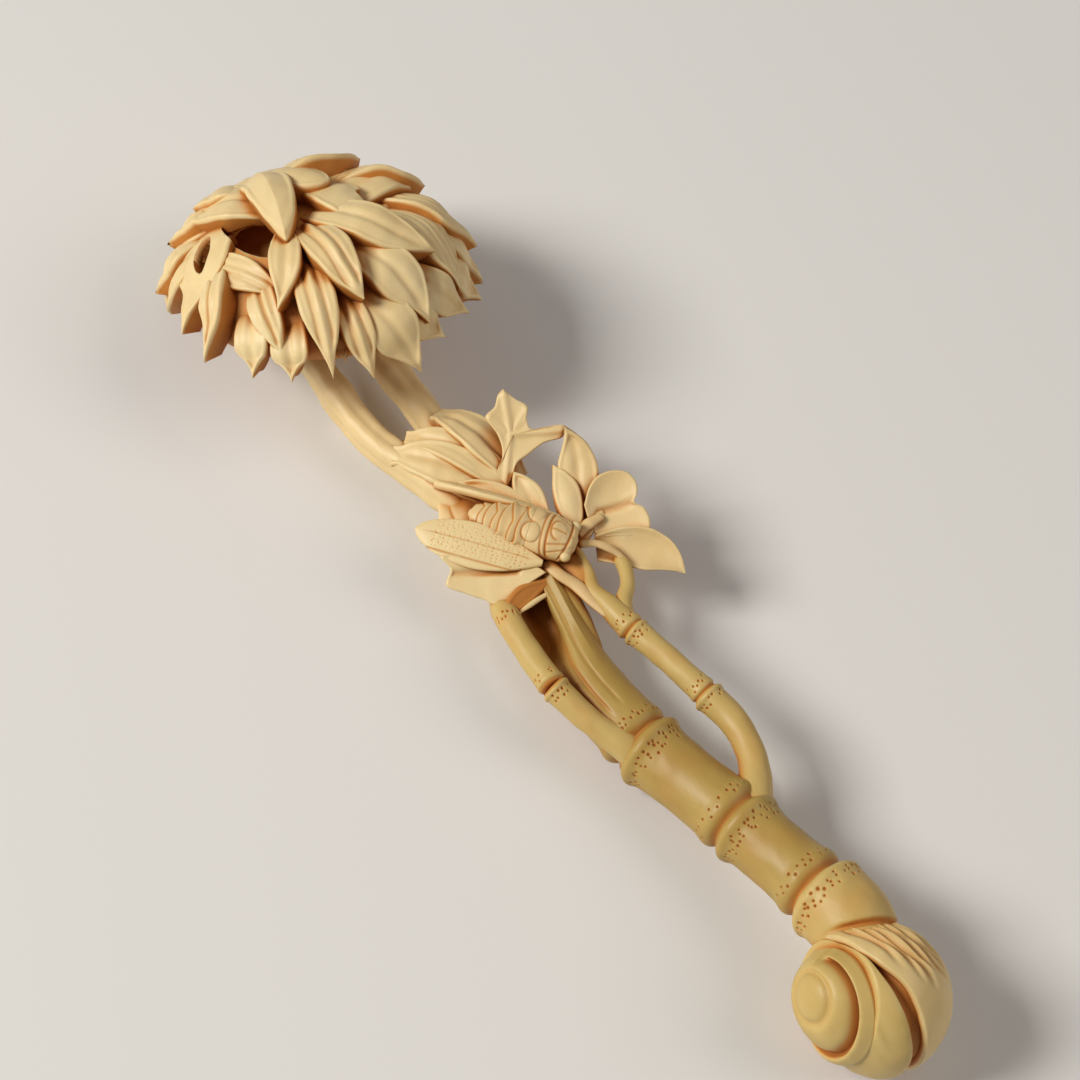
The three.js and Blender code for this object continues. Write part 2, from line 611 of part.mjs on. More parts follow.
// Leaves of the head, outermost first: places in the head's degrees, widths as shares of the widest
const HEAD_LEAVES = {
  front: { from: [8, -11], via: [33, -17], to: [58, -16], wide: 0.95, rise: 1.4 },
  broad: { from: [3, -7], via: [25, 5], to: [46, 22], wide: 1, rise: 1 },
  folded: { from: [-20, -9], via: [10, -27], to: [36, -46], wide: 0.9, rise: 0.8 },
  crown: { from: [-8, -6], via: [-18, 8], to: [-18, 32], wide: 1, rise: 1.6 },
  flap: { from: [0, 4], via: [6, 22], to: [4, 50], wide: 0.95, rise: 1.8 },
  right_long: { from: [13, 14], via: [36, 30], to: [66, 32], wide: 1.05, rise: 0.8 },
  right_low: { from: [33, -6], via: [51, 4], to: [74, 11], wide: 0.95, rise: 1 },
  middle: { from: [28, -26], via: [50, -33], to: [76, -44], wide: 0.9, rise: 0.8 },
  strap: { from: [26, -40], via: [11, -42], to: [-9, -43], wide: 0.6, rise: 0.3 },
  left_rib: { from: [-2, -46], via: [13, -62], to: [18, -87], wide: 0.85, rise: 0.8 },
  left_broad: { from: [-22, -42], via: [-8, -62], to: [-4, -84], wide: 0.95, rise: 0.5 },
  left_edge: { from: [-30, -40], via: [-32, -57], to: [-38, -78], wide: 0.85, rise: 0.6 },
  left_top: { from: [-26, -18], via: [-36, -34], to: [-52, -56], wide: 1, rise: 0.7 },
  right_outer: { from: [15, 32], via: [22, 52], to: [30, 76], wide: 1, rise: 0.6 },
  right_rim: { from: [38, 42], via: [46, 56], to: [48, 76], wide: 0.85, rise: 0.4 },
  right_tip: { from: [56, 22], via: [66, 29], to: [72, 45], wide: 0.8, rise: 0.4 },
  near_rim: { from: [58, -9], via: [73, -8], to: [95, 2], wide: 1, rise: 0.4 },
  near_slim: { from: [53, -20], via: [68, -24], to: [88, -27], wide: 0.65, rise: 0.2 },
  left_point: { from: [20, -50], via: [33, -66], to: [45, -82], wide: 0.75, rise: 0.3 },
  low_point: { from: [34, -53], via: [48, -60], to: [63, -67], wide: 0.75, rise: 0.3 },
  far_right: { from: [-4, 40], via: [2, 62], to: [8, 92], wide: 1.1, rise: 0.5 },
  far_middle: { from: [-22, 30], via: [-41, 50], to: [-64, 78], wide: 1.1, rise: 0.5 },
  far_left: { from: [-34, 2], via: [-62, 8], to: [-95, 14], wide: 1.1, rise: 0.5 },
  far_end: { from: [-36, -14], via: [-63, -28], to: [-93, -45], wide: 1.05, rise: 0.4 },
};

// Leaves of the spray, uppermost first
const SPRAY_LEAVES = {
  tall: {
    from: [-7, 11.5, 12.6], via: [-11.6, 14.4, 15.6], to: [-17, 15.4, 19], width: 5.4, face: [0.5, -0.5, 0.7],
  },
  bud: {
    from: [-4.6, 9.4, 12.6], via: [-9, 10.4, 13.6], to: [-13.6, 11.4, 15], width: 3.8,
    face: [0.4, -0.3, 0.85],
  },
  sweep: {
    from: [-1, 10.4, 12.6], via: [3.6, 16.2, 13.4], to: [9.4, 19.4, 11.6], width: 5.2, face: [-0.2, 0.1, 1],
  },
  inner: {
    from: [-8, 5.8, 12.6], via: [-11.6, 5.2, 13.6], to: [-15.6, 5.4, 14.6], width: 3.6,
    face: [0.4, -0.3, 0.85],
  },
  upper: {
    from: [-17, 6, 12.4], via: [-25, 7, 13], to: [-31.8, 5.4, 12.3], width: 7.2, face: [0, 0.25, 1],
  },
  middle: {
    from: [-16.4, 4.4, 12.4], via: [-22.8, 3, 12.6], to: [-29.6, 0.4, 11.8], width: 6.6, face: [0, 0, 1],
  },
  lower: {
    from: [-15, 2.6, 12], via: [-22.4, -1.4, 11.7], to: [-29, -5.2, 10.8], width: 7.4, face: [0, -0.25, 1],
  },
  thin: {
    from: [-7, 3.4, 12.4], via: [-12, 0.6, 12.4], to: [-17.6, -1.6, 12.2], width: 3.6, face: [0.1, -0.2, 1],
  },
  under: {
    from: [-0.6, -1.6, 11.6], via: [-5.4, -6.4, 10.8], to: [-11, -9.4, 9.4], width: 8.4,
    face: [0.3, -0.4, 0.8],
  },
};

// Star leaf: four lobes round a heart, on a stem that comes up from the spray
const STAR_HEART = [-19.8, 8.3, 15.4];
const STAR_FACE = [0.6, -0.4, 0.7];
const STAR_LOBES = [
  { via: [-23.4, 9.4, 17.4], to: [-27.1, 10.9, 19.2], width: 5.6, root: 0.6 },
  { via: [-21.2, 10.8, 17.2], to: [-22.9, 13.3, 18.6], width: 4.4, root: 0.6 },
  { via: [-22.2, 8, 16.3], to: [-24.6, 7.6, 17], width: 4, root: 0.6 },
  { via: [-18.9, 11.8, 16.6], to: [-17.7, 15.2, 17.2], width: 2.6, root: 0.9 },
  { via: [-17.6, 6.6, 14.6], to: [-15.2, 4.4, 12.4], width: 2.6, root: 0.9, tip: 0.8 },
];
const starLeaf = (grow) => joined(STAR_LOBES.map((lobe) => sprayLeaf(
  { ...lobe, from: STAR_HEART, face: STAR_FACE }, grow)));

// Round leaf: two broad lobes side by side
const ROUND_ROOT = [-2, 9.6, 12.4];
const ROUND_FACE = [0.3, -0.3, 0.9];
const ROUND_LOBES = [
  { via: [-4.4, 14, 14.4], to: [-6.2, 19.6, 15.6], width: 7.6, widest: 0.7 },
  { via: [-0.6, 13.6, 13.8], to: [1.6, 18.2, 14], width: 6.4, widest: 0.65 },
];
const roundLeaf = (grow) => joined(ROUND_LOBES.map((lobe) => sprayLeaf(
  { ...lobe, from: ROUND_ROOT, face: ROUND_FACE }, grow)));

// Every member in carving order: a later one gives way to the earlier ones that it meets, apart
// from those that it is laid on with the seat gap between
const members = [
  ["knob_spire", knobSpire],
  ["culm_collar", culmCollar],
  ["knob_sheath", knobSheath],
  ["knob_body", knobBody, ["knob_sheath"]],
  ["culm_lower", culmLower],
  ["culm_upper", culmUpper],
  ["right_branch_lower", rightBranchLower],
  ["right_branch_middle", rightBranchMiddle],
  ["right_branch_upper", rightBranchUpper],
  ["right_twig", rightTwig],
  ["left_branch_lower", leftBranchLower],
  ["left_branch_upper", leftBranchUpper],
  ["split_culm", splitCulm],
  ["cicada_head", cicadaHeadPart],
  ["cicada_thorax", cicadaThorax],
  ["cicada_abdomen", cicadaAbdomen],
  ["cicada_wing_near", (grow) => cicadaWing({ side: 1, spread: 0.7, lean: 0.4 }, grow)],
  ["cicada_wing_far", (grow) => cicadaWing({ side: -1, spread: 0.52, lean: 1.2 }, grow)],
  ["cicada_leg_front", cicadaLeg([[1.1, -3.4, -0.5], [-0.6, -5.2, -0.1], [-2, -6.5, 0]])],
  ["cicada_leg_middle", cicadaLeg([[-0.2, -2.1, -1], [-3.3, -2.1, -0.6], [-7, -1.2, -1.6]])],
  ["cicada_leg_hind", cicadaLeg([[1.9, 3.4, -1.6], [-1.9, 5.2, -2], [-5.5, 5.8, -2.4]])],
  ["star_leaf", starLeaf],
  ["round_leaf", roundLeaf],
  ...Object.entries(SPRAY_LEAVES).map(([name, leaf]) => [
    `spray_leaf_${name}`, (grow) => sprayLeaf(leaf, grow),
  ]),
  ["spray_core", sprayCore],
  ["head_core", headCore],
  ["stalk_left", (grow) => stalk(-1, grow)],
  ["stalk_right", (grow) => stalk(1, grow)],
  ...Object.entries(HEAD_LEAVES).map(([name, leaf]) => [
    `head_leaf_${name}`, (grow) => headLeaf(leaf, grow), ["head_core"],
  ]),
];

// Carve each member clear of the earlier ones by the seat gap
const finished = [];
for (const [name, make, seats = []] of members) {
  const raw = make(0);
  raw.computeBoundingBox();
  const reach = raw.boundingBox.clone().expandByScalar(SEAT_GAP);
  const met = finished.filter((other) => other.box.intersectsBox(reach));
  const cutters = met.filter((other) => !seats.includes(other.name)).map((other) => other.make(SEAT_GAP));
  const geometry = cutters.length > 0 ? carved(raw, cutters) : raw;
  finished.push({ name, make, geometry, box: raw.boundingBox });
}

// Stand the whole on its lowest point, centred over the origin
const box = new THREE.Box3();
finished.forEach(({ geometry }) => {
  geometry.computeBoundingBox();
  box.union(geometry.boundingBox);
});
const middle = box.getCenter(new THREE.Vector3());

// Sub-assemblies by the first word of a member's name
const ASSEMBLIES = {
  head: ["head", "stalk"],
  spray: ["spray", "star", "round"],
  cicada: ["cicada"],
  branches: ["left", "right"],
  culm: ["culm", "split"],
  knob: ["knob"],
};

const scepter = new THREE.Group();
scepter.position.set(-middle.x, -middle.y, -box.min.z);
for (const [assembly, words] of Object.entries(ASSEMBLIES)) {
  const group = new THREE.Group();
  group.name = assembly;
  for (const { name, geometry } of finished.filter((member) => words.includes(member.name.split("_")[0]))) {
    const material = new THREE.MeshStandardMaterial({ color: BOXWOOD, roughness: ROUGHNESS, metalness: 0 });
    const mesh = new THREE.Mesh(geometry, material);
    mesh.name = name;
    group.add(mesh);
  }
  scepter.add(group);
}

export default scepter;
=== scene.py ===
"""Looks of a carved boxwood ruyi scepter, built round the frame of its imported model.

Sizes in the classes are millimetres on the carving's own axes: X runs from the head to the knob, Y to its
right and Z up. metres() turns them into the frame's metres.
"""
from __future__ import annotations

import logging
import math
from dataclasses import dataclass, field
from enum import Enum

import bpy
import numpy as np
from mathutils import Matrix, Vector


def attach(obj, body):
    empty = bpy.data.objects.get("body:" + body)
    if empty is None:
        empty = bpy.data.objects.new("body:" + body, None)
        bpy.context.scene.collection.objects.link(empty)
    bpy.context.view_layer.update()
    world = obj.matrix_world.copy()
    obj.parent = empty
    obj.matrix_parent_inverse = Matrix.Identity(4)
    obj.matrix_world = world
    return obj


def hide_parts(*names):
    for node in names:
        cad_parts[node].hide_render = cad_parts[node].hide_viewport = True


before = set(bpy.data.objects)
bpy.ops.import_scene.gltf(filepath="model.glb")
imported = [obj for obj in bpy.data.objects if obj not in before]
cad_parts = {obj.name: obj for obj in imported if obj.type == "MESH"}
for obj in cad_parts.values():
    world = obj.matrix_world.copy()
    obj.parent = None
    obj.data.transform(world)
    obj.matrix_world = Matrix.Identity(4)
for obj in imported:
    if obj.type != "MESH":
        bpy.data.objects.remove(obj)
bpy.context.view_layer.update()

LOG = logging.getLogger("scepter")
Array = np.ndarray
Place = tuple[float, float, float]

# Where the frame's origin lies on the carving's axes, and the size of a millimetre
ORIGIN = np.array([4.25, 0.4, 1.6])
MM = 0.001
# Centre of the knob, which the collar is fitted to
KNOB_CENTRE: Place = (77.5, 0.0, 12.2)
UP = np.array([0.0, 0.0, 1.0])

# Steps of a smooth curve between two of its knots
CURVE_STEPS = 40
# Length of the shallow waves that a hand-held blade leaves
HAND_WAVE = 5.0
# Smallest share of its radius that a rounded end keeps, and the angle left open at a ball's poles
BLUNT_END = 0.04
OPEN_POLE = 0.03
# Keeps a division by a length from failing
TINY = 1e-9


def metres(points: Array) -> Array:
    """Places on the carving's axes as places in the frame."""
    return (np.asarray(points, float) - ORIGIN) * MM


def unit(vectors: Array) -> Array:
    """Vectors scaled to length one."""
    vectors = np.asarray(vectors, float)
    return vectors / np.linalg.norm(vectors, axis=-1, keepdims=True)


def ease(low: float, high: float, value: Array) -> Array:
    """Smooth step from 0 at low to 1 at high."""
    share = np.clip((value - low) / (high - low), 0.0, 1.0)
    return share * share * (3.0 - 2.0 * share)


def bell(value: Array, middle: float, width: float) -> Array:
    """Bell curve of height one round middle."""
    return np.exp(-(((value - middle) / width) ** 2))


def turns(columns: int) -> Array:
    """Angles of the columns of a closed ring."""
    return np.linspace(0.0, 2.0 * math.pi, columns, endpoint=False)


def through(start: tuple, via: tuple, end: tuple, share: Array) -> Array:
    """Places on the curve from start to end that passes via half way.

    Args:
        start: First place.
        via: Place at half the run.
        end: Last place.
        share: Shares of the run, one for each wanted place.

    Returns:
        One place for each share.
    """
    start, via, end = (np.asarray(place, float) for place in (start, via, end))
    control = 2.0 * via - (start + end) / 2.0
    run = share[:, None]
    return (1.0 - run) ** 2 * start + 2.0 * run * (1.0 - run) * control + run ** 2 * end


def spline(knots: list | tuple, share: Array) -> Array:
    """Places on a smooth curve through the knots.

    Args:
        knots: Places that the curve passes.
        share: Shares of the curve's length, one for each wanted place.

    Returns:
        One place for each share.
    """
    knots = np.asarray(knots, float)
    padded = np.vstack([2 * knots[0] - knots[1], knots, 2 * knots[-1] - knots[-2]])
    gaps = np.linalg.norm(np.diff(padded, axis=0), axis=1) ** 0.5
    run = np.linspace(0.0, 1.0, CURVE_STEPS, endpoint=False)[:, None]
    stretches = []
    for i in range(1, len(padded) - 2):
        before, start, end, after = padded[i - 1:i + 3]
        gap_before, gap, gap_after = gaps[i - 1:i + 2]
        leave = (start - before) / gap_before - (end - before) / (gap_before + gap) + (end - start) / gap
        arrive = (end - start) / gap - (after - start) / (gap + gap_after) + (after - end) / gap_after
        stretches.append(
            (2 * run ** 3 - 3 * run ** 2 + 1) * start + (run ** 3 - 2 * run ** 2 + run) * leave * gap
            + (3 * run ** 2 - 2 * run ** 3) * end + (run ** 3 - run ** 2) * arrive * gap)
    line = np.vstack([*stretches, knots[-1:]])
    length = np.concatenate([[0.0], np.cumsum(np.linalg.norm(np.diff(line, axis=0), axis=1))])
    wanted = np.asarray(share) * length[-1]
    return np.stack([np.interp(wanted, length, line[:, axis]) for axis in range(3)], axis=1)


def length_of(path: Array) -> float:
    """Length of a path of places."""
    return float(np.linalg.norm(np.diff(path, axis=0), axis=1).sum())


def hand_waves(points: Array, size: float) -> Array:
    """Shallow waves of a hand-cut surface, as an offset for each place.

    Args:
        points: Places on the surface.
        size: Height of the waves.

    Returns:
        One offset for each place, from three waves that bend each other so that none repeats in rows.
    """
    x, y, z = np.moveaxis(2.0 * math.pi * points / HAND_WAVE, -1, 0)
    waves = np.sin(x + 1.7 * np.sin(0.6 * y + 0.9 * z)) + np.sin(1.1 * y + 1.3 * np.sin(0.7 * z + 0.8 * x))
    return size * (waves + np.sin(0.9 * z + 1.5 * np.sin(0.8 * x + 0.5 * y))) / 3.0


def swept(path: Array, across: Array, over: Array, x: Array, z: Array) -> Array:
    """Rings laid round the places of a path.

    Args:
        path: Places along the middle.
        across: Sideways direction at each place.
        over: Upward direction at each place.
        x: Sideways distance of each point of each ring.
        z: Upward distance of each point of each ring.

    Returns:
        Rings of shape (places, columns, 3).
    """
    return path[:, None] + x[..., None] * across[:, None] + z[..., None] * over[:, None]


def turned(centre: Array, axes: tuple, reach: Array, turn: Array, high: Array) -> Array:
    """Rings turned about an axis.

    Args:
        centre: Place on the axis.
        axes: Direction of angle zero, direction of a quarter turn, and the axis.
        reach: Distance of each point from the axis.
        turn: Angle of each point.
        high: Height of each point along the axis.

    Returns:
        Rings of shape (rows, columns, 3).
    """
    first, second, axis = axes
    flat = (reach * np.cos(turn))[..., None] * first + (reach * np.sin(turn))[..., None] * second
    return np.asarray(centre) + flat + high[..., None] * axis


def rod(path: Array, radius: Array, columns: int, up: Array = UP, squash: float = 1.0) -> Array:
    """Closed rings round a path.

    Args:
        path: Places along the middle.
        radius: Radius for each place, or for each place and column.
        columns: Points in a ring.
        up: Direction that the second quarter of a ring faces.
        squash: Share of the radius along that direction.

    Returns:
        Rings of shape (places, columns, 3).
    """
    along = unit(np.gradient(path, axis=0))
    across = unit(np.cross(along, up))
    over = np.cross(across, along)
    turn = turns(columns)
    radius = np.broadcast_to(radius.reshape(len(path), -1), (len(path), columns))
    return swept(path, across, over, radius * np.cos(turn), radius * np.sin(turn) * squash)


def closing(share: Array, start: float, end: float) -> Array:
    """Factor that rounds off the two ends of a rod over shares of its length."""
    first = np.clip(share / start, 0.0, 1.0) if start > 0.0 else np.ones_like(share)
    last = np.clip((1.0 - share) / end, 0.0, 1.0) if end > 0.0 else np.ones_like(share)
    return np.maximum(BLUNT_END, np.sqrt(1.0 - (1.0 - first) ** 2) * np.sqrt(1.0 - (1.0 - last) ** 2))


def rounded_edge(to_edge: Array, size: Array | float) -> Array:
    """How far a rounded edge falls below its face.

    Args:
        to_edge: Distance of each place from the edge.
        size: Radius of the rounding.

    Returns:
        The fall at each place.
    """
    inset = np.clip(1.0 - to_edge / size, 0.0, 1.0)
    return size * (1.0 - np.sqrt(np.maximum(0.0, 1.0 - inset ** 2)))


def ball(centre: Array, radii: tuple, rows: int = 26, columns: int = 40) -> Array:
    """Closed rings of a ball from its lowest point to its highest."""
    pole = math.pi / 2 - OPEN_POLE
    polar = np.linspace(-pole, pole, rows)[:, None]
    turn = turns(columns)[None]
    flat = np.ones_like(turn)
    shape = np.stack([np.cos(polar) * np.cos(turn), np.cos(polar) * np.sin(turn), np.sin(polar) * flat], -1)
    return np.asarray(centre) + shape * np.asarray(radii)


def add_node(tree: bpy.types.NodeTree, kind: str, settings: dict | None = None,
             **inputs: bpy.types.NodeSocket | float | tuple) -> bpy.types.Node:
    """Adds a node, sets its properties, and fills or links its inputs.

    Args:
        tree: Tree that gets the node.
        kind: Blender's name of the node type.
        settings: Properties of the node.
        **inputs: Input names, with _ for a space, or numbers after an i, and what fills or feeds them.

    Returns:
        The new node.
    """
    node = tree.nodes.new(kind)
    for name, value in (settings or {}).items():
        setattr(node, name, value)
    for name, value in inputs.items():
        key = int(name[1:]) if name[0] == "i" and name[1:].isdigit() else name.replace("_", " ")
        socket = node.inputs[key]
        if isinstance(value, bpy.types.NodeSocket):
            tree.links.new(value, socket)
        else:
            socket.default_value = value
    return node


def mixed(tree: bpy.types.NodeTree, share: bpy.types.NodeSocket, first: bpy.types.NodeSocket | tuple,
          second: tuple) -> bpy.types.NodeSocket:
    """Colour between two colours, by a share from 0 to 1."""
    return add_node(tree, "ShaderNodeMix", {"data_type": "RGBA"}, i0=share, i6=first, i7=second).outputs[2]


def new_group(name: str, inputs: dict[str, float], outputs: list[str]) -> tuple:
    """Starts a shader node group with value sockets.

    Args:
        name: Name of the group.
        inputs: Names and default values of its inputs.
        outputs: Names of its outputs.

    Returns:
        The group's tree, its input node and its output node.
    """
    tree = bpy.data.node_groups.new(name, "ShaderNodeTree")
    for label, value in inputs.items():
        socket = tree.interface.new_socket(label, in_out="INPUT", socket_type="NodeSocketFloat")
        socket.default_value = value
    for label in outputs:
        tree.interface.new_socket(label, in_out="OUTPUT", socket_type="NodeSocketFloat")
    return tree, tree.nodes.new("NodeGroupInput"), tree.nodes.new("NodeGroupOutput")


def grain_group() -> bpy.types.NodeTree:
    """Boxwood grain that runs along the block: broad streaks, and fine pores for the bump."""
    tree, given, result = new_group("boxwood grain", {"Streak Size": 260.0}, ["Streak", "Pores", "Patch"])
    place = add_node(tree, "ShaderNodeTexCoord").outputs["Object"]
    long_way = add_node(tree, "ShaderNodeMapping", Vector=place, Scale=(0.12, 1.0, 1.0)).outputs[0]
    streak = add_node(tree, "ShaderNodeTexNoise", Vector=long_way, Scale=given.outputs["Streak Size"],
                      Detail=5.0)
    fine = add_node(tree, "ShaderNodeMapping", Vector=place, Scale=(0.3, 1.0, 1.0)).outputs[0]
    pores = add_node(tree, "ShaderNodeTexNoise", Vector=fine, Scale=2600.0, Detail=3.0)
    patch = add_node(tree, "ShaderNodeTexNoise", Vector=place, Scale=70.0, Detail=2.0)
    for label, noise in (("Streak", streak), ("Pores", pores), ("Patch", patch)):
        spread = add_node(tree, "ShaderNodeMapRange", Value=noise.outputs["Fac"], From_Min=0.3, From_Max=0.7)
        tree.links.new(spread.outputs[0], result.inputs[label])
    return tree


def crevice_group() -> bpy.types.NodeTree:
    """Painted crevice shade: how deep a place lies between its neighbours, from the painted shade of its
    points and from what shades it.
    """
    tree, given, result = new_group("painted crevice shade", {"Reach": 0.003}, ["Depth"])
    shaded = add_node(tree, "ShaderNodeAmbientOcclusion", {"samples": 8}, Distance=given.outputs["Reach"])
    dark = add_node(tree, "ShaderNodeMapRange", Value=shaded.outputs["AO"], From_Min=0.84, From_Max=0.2)
    hollow = add_node(tree, "ShaderNodeAttribute", {"attribute_name": "hollow"})
    deepest = add_node(tree, "ShaderNodeMath", {"operation": "MAXIMUM", "use_clamp": True},
                       i0=dark.outputs[0], i1=hollow.outputs["Fac"])
    tree.links.new(deepest.outputs[0], result.inputs["Depth"])
    return tree


@dataclass(frozen=True)
class BoxwoodFinish:
    """Satin boxwood with warm painted shade in its crevices.

    Attributes:
        name: Name of the material.
        pale: Colour of open faces.
        warm: Colour of the grain's darker streaks.
        shade: Painted shade colour half way into a crevice.
        deep: Painted shade colour at the bottom of a crevice.
        roughness: Roughness of open faces.
        deep_roughness: Roughness at the bottom of a crevice.
        streak_size: How close the streaks of the grain lie.
        streak_share: How far the streaks tint the faces.
        patch_share: How far broad patches tint the faces.
        reach: Distance over which neighbours shade a crevice, in metres.
        half_way: Crevice depths between which the colour goes from the face's to shade.
        bottom: Crevice depths between which it goes from shade to deep.
        pore_share: How strongly the pores show.
        pore_height: Height of the pores, in metres.
        glow: Share of the light that spreads inside the wood.
        glow_colours: How far red, green and blue light spread, as shares.
        glow_depth: How far the light spreads, in metres.
        index: Index of refraction.
    """

    name: str
    pale: tuple = (0.83, 0.66, 0.35, 1.0)
    warm: tuple = (0.76, 0.54, 0.24, 1.0)
    shade: tuple = (0.56, 0.22, 0.035, 1.0)
    deep: tuple = (0.32, 0.095, 0.012, 1.0)
    roughness: float = 0.46
    deep_roughness: float = 0.75
    streak_size: float = 260.0
    streak_share: float = 0.45
    patch_share: float = 0.3
    reach: float = 0.0042
    half_way: tuple = (0.0, 0.55)
    bottom: tuple = (0.45, 1.0)
    pore_share: float = 0.12
    pore_height: float = 0.0001
    glow: float = 0.12
    glow_colours: tuple = (1.0, 0.45, 0.15)
    glow_depth: float = 0.0012
    index: float = 1.46

    def material(self, grain: bpy.types.NodeTree, crevice: bpy.types.NodeTree) -> bpy.types.Material:
        """Builds the material round the two shared groups.

        Args:
            grain: Group of the grain.
            crevice: Group of the painted crevice shade.

        Returns:
            The new material.
        """
        made = bpy.data.materials.new(self.name)
        made.use_nodes = True
        tree = made.node_tree
        shader = tree.nodes["Principled BSDF"]
        wood = add_node(tree, "ShaderNodeGroup", {"node_tree": grain}, Streak_Size=self.streak_size)
        depth = add_node(tree, "ShaderNodeGroup", {"node_tree": crevice}, Reach=self.reach).outputs["Depth"]
        streaks = add_node(tree, "ShaderNodeMath", {"operation": "MULTIPLY"},
                           i0=wood.outputs["Streak"], i1=self.streak_share)
        patches = add_node(tree, "ShaderNodeMath", {"operation": "MULTIPLY_ADD"},
                           i0=wood.outputs["Patch"], i1=self.patch_share, i2=streaks.outputs[0])
        coloured = mixed(tree, patches.outputs[0], self.pale, self.warm)
        # Painted shade: the colour turns to shade and then to deep as the crevice depth grows
        for (low, high), colour in ((self.half_way, self.shade), (self.bottom, self.deep)):
            inside = add_node(tree, "ShaderNodeMapRange", {"interpolation_type": "SMOOTHSTEP"},
                              Value=depth, From_Min=low, From_Max=high)
            coloured = mixed(tree, inside.outputs[0], coloured, colour)
        tree.links.new(coloured, shader.inputs["Base Color"])
        rough = add_node(tree, "ShaderNodeMapRange", Value=depth, To_Min=self.roughness,
                         To_Max=self.deep_roughness)
        tree.links.new(rough.outputs[0], shader.inputs["Roughness"])
        bump = add_node(tree, "ShaderNodeBump", Strength=self.pore_share, Distance=self.pore_height,
                        Height=wood.outputs["Pores"])
        tree.links.new(bump.outputs[0], shader.inputs["Normal"])
        shader.inputs["Subsurface Weight"].default_value = self.glow
        shader.inputs["Subsurface Radius"].default_value = self.glow_colours
        shader.inputs["Subsurface Scale"].default_value = self.glow_depth
        shader.inputs["IOR"].default_value = self.index
        return made


# Finishes of the leaves and cicada, of the branches, collar and knob, of the knob's sheath and of the culm;
# they darken from the head to the culm, partly the wood's own tone and partly painted shade, and the
# sheath's lighter tone is partly a painted reflection
PALE = BoxwoodFinish("pale boxwood")
LIGHT = BoxwoodFinish("light boxwood", (0.64, 0.47, 0.17, 1.0), (0.52, 0.34, 0.09, 1.0))
SOFT = BoxwoodFinish("soft boxwood", (0.75, 0.575, 0.27, 1.0), (0.66, 0.46, 0.175, 1.0))
GOLDEN = BoxwoodFinish("golden boxwood", (0.5, 0.345, 0.095, 1.0), (0.38, 0.22, 0.045, 1.0),
                       (0.44, 0.18, 0.03, 1.0))


@dataclass
class Carving:
    """Closed skins that together make one piece.

    Attributes:
        node: Node of the frame that the piece stands for.
        points: Places of each skin.
        corners: Corner numbers of each skin's faces, one flat row.
        sizes: Corner count of each face.
        hollows: Painted shade of each place, 0 on open faces and 1 in a deep cut.
        count: Places so far.
    """

    node: str
    points: list[Array] = field(default_factory=list)
    corners: list[Array] = field(default_factory=list)
    sizes: list[Array] = field(default_factory=list)
    hollows: list[Array] = field(default_factory=list)
    count: int = 0

    @classmethod
    def of(cls, node: str, rings: Array, hollow: Array | float = 0.0, hand: float = 0.05) -> Carving:
        """Carving of a single skin, with the same values as tube()."""
        made = cls(node)
        made.tube(rings, hollow, hand)
        return made

    def tube(self, rings: Array, hollow: Array | float = 0.0, hand: float = 0.05) -> None:
        """Adds a skin over closed rings and closes its two ends.

        Args:
            rings: Rings of shape (rows, columns, 3).
            hollow: Painted shade of the whole skin or of each place.
            hand: Height of the hand-cut waves.
        """
        rows, columns, _ = rings.shape
        around = np.roll(rings, -1, axis=1) - np.roll(rings, 1, axis=1)
        outwards = np.cross(around, np.gradient(rings, axis=0))
        outwards /= np.linalg.norm(outwards, axis=-1, keepdims=True) + TINY
        rings = rings + outwards * hand_waves(rings, hand)[..., None]
        index = np.arange(rows * columns).reshape(rows, columns)
        here = index[:-1]
        beside = np.roll(index, -1, axis=1)[:-1]
        quads = np.stack([here, beside, beside + columns, here + columns], -1).reshape(-1, 4)
        caps = []
        for ring, centre, step in ((index[0], rows * columns, 1), (index[-1], rows * columns + 1, -1)):
            caps.append(np.stack([np.full(columns, centre), np.roll(ring, -step), ring], -1))
        triangles = np.vstack(caps)
        points = np.vstack([rings.reshape(-1, 3), rings[0].mean(0), rings[-1].mean(0)])
        split = np.vstack([quads[:, :3], quads[:, [0, 2, 3]], triangles])
        first, second, third = (points[split[:, i]] - points[0] for i in range(3))
        if np.einsum("ij,ij->", first, np.cross(second, third)) < 0.0:
            quads = quads[:, ::-1]
            triangles = triangles[:, ::-1]
        depth = np.broadcast_to(np.asarray(hollow, float), (rows, columns)).reshape(-1)
        self.hollows.append(np.concatenate([depth, [depth[:columns].mean(), depth[-columns:].mean()]]))
        self.points.append(points)
        self.corners.append(np.concatenate([quads.reshape(-1), triangles.reshape(-1)]) + self.count)
        self.sizes.append(np.concatenate([np.full(len(quads), 4), np.full(len(triangles), 3)]))
        self.count += len(points)

    def mesh(self) -> bpy.types.Mesh:
        """Mesh of all the skins, smooth shaded, with the painted shade as an attribute."""
        made = bpy.data.meshes.new(self.node)
        corners = np.concatenate(self.corners)
        sizes = np.concatenate(self.sizes)
        made.vertices.add(self.count)
        made.vertices.foreach_set("co", metres(np.vstack(self.points)).astype(np.float32).ravel())
        made.loops.add(len(corners))
        made.loops.foreach_set("vertex_index", corners.astype(np.int32))
        made.polygons.add(len(sizes))
        made.polygons.foreach_set("loop_start", np.concatenate([[0], np.cumsum(sizes)[:-1]]).astype(np.int32))
        made.update(calc_edges=True)
        made.shade_smooth()
        depth = made.attributes.new("hollow", "FLOAT", "POINT")
        depth.data.foreach_set("value", np.concatenate(self.hollows).astype(np.float32))
        return made

    def piece(self, material: bpy.types.Material) -> bpy.types.Object:
        """Object of the carving, dressed and riding on the frame."""
        made = bpy.data.objects.new(f"carved_{self.node}", self.mesh())
        bpy.context.scene.collection.objects.link(made)
        made.data.materials.append(material)
        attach(made, "root")
        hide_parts(self.node)
        return made


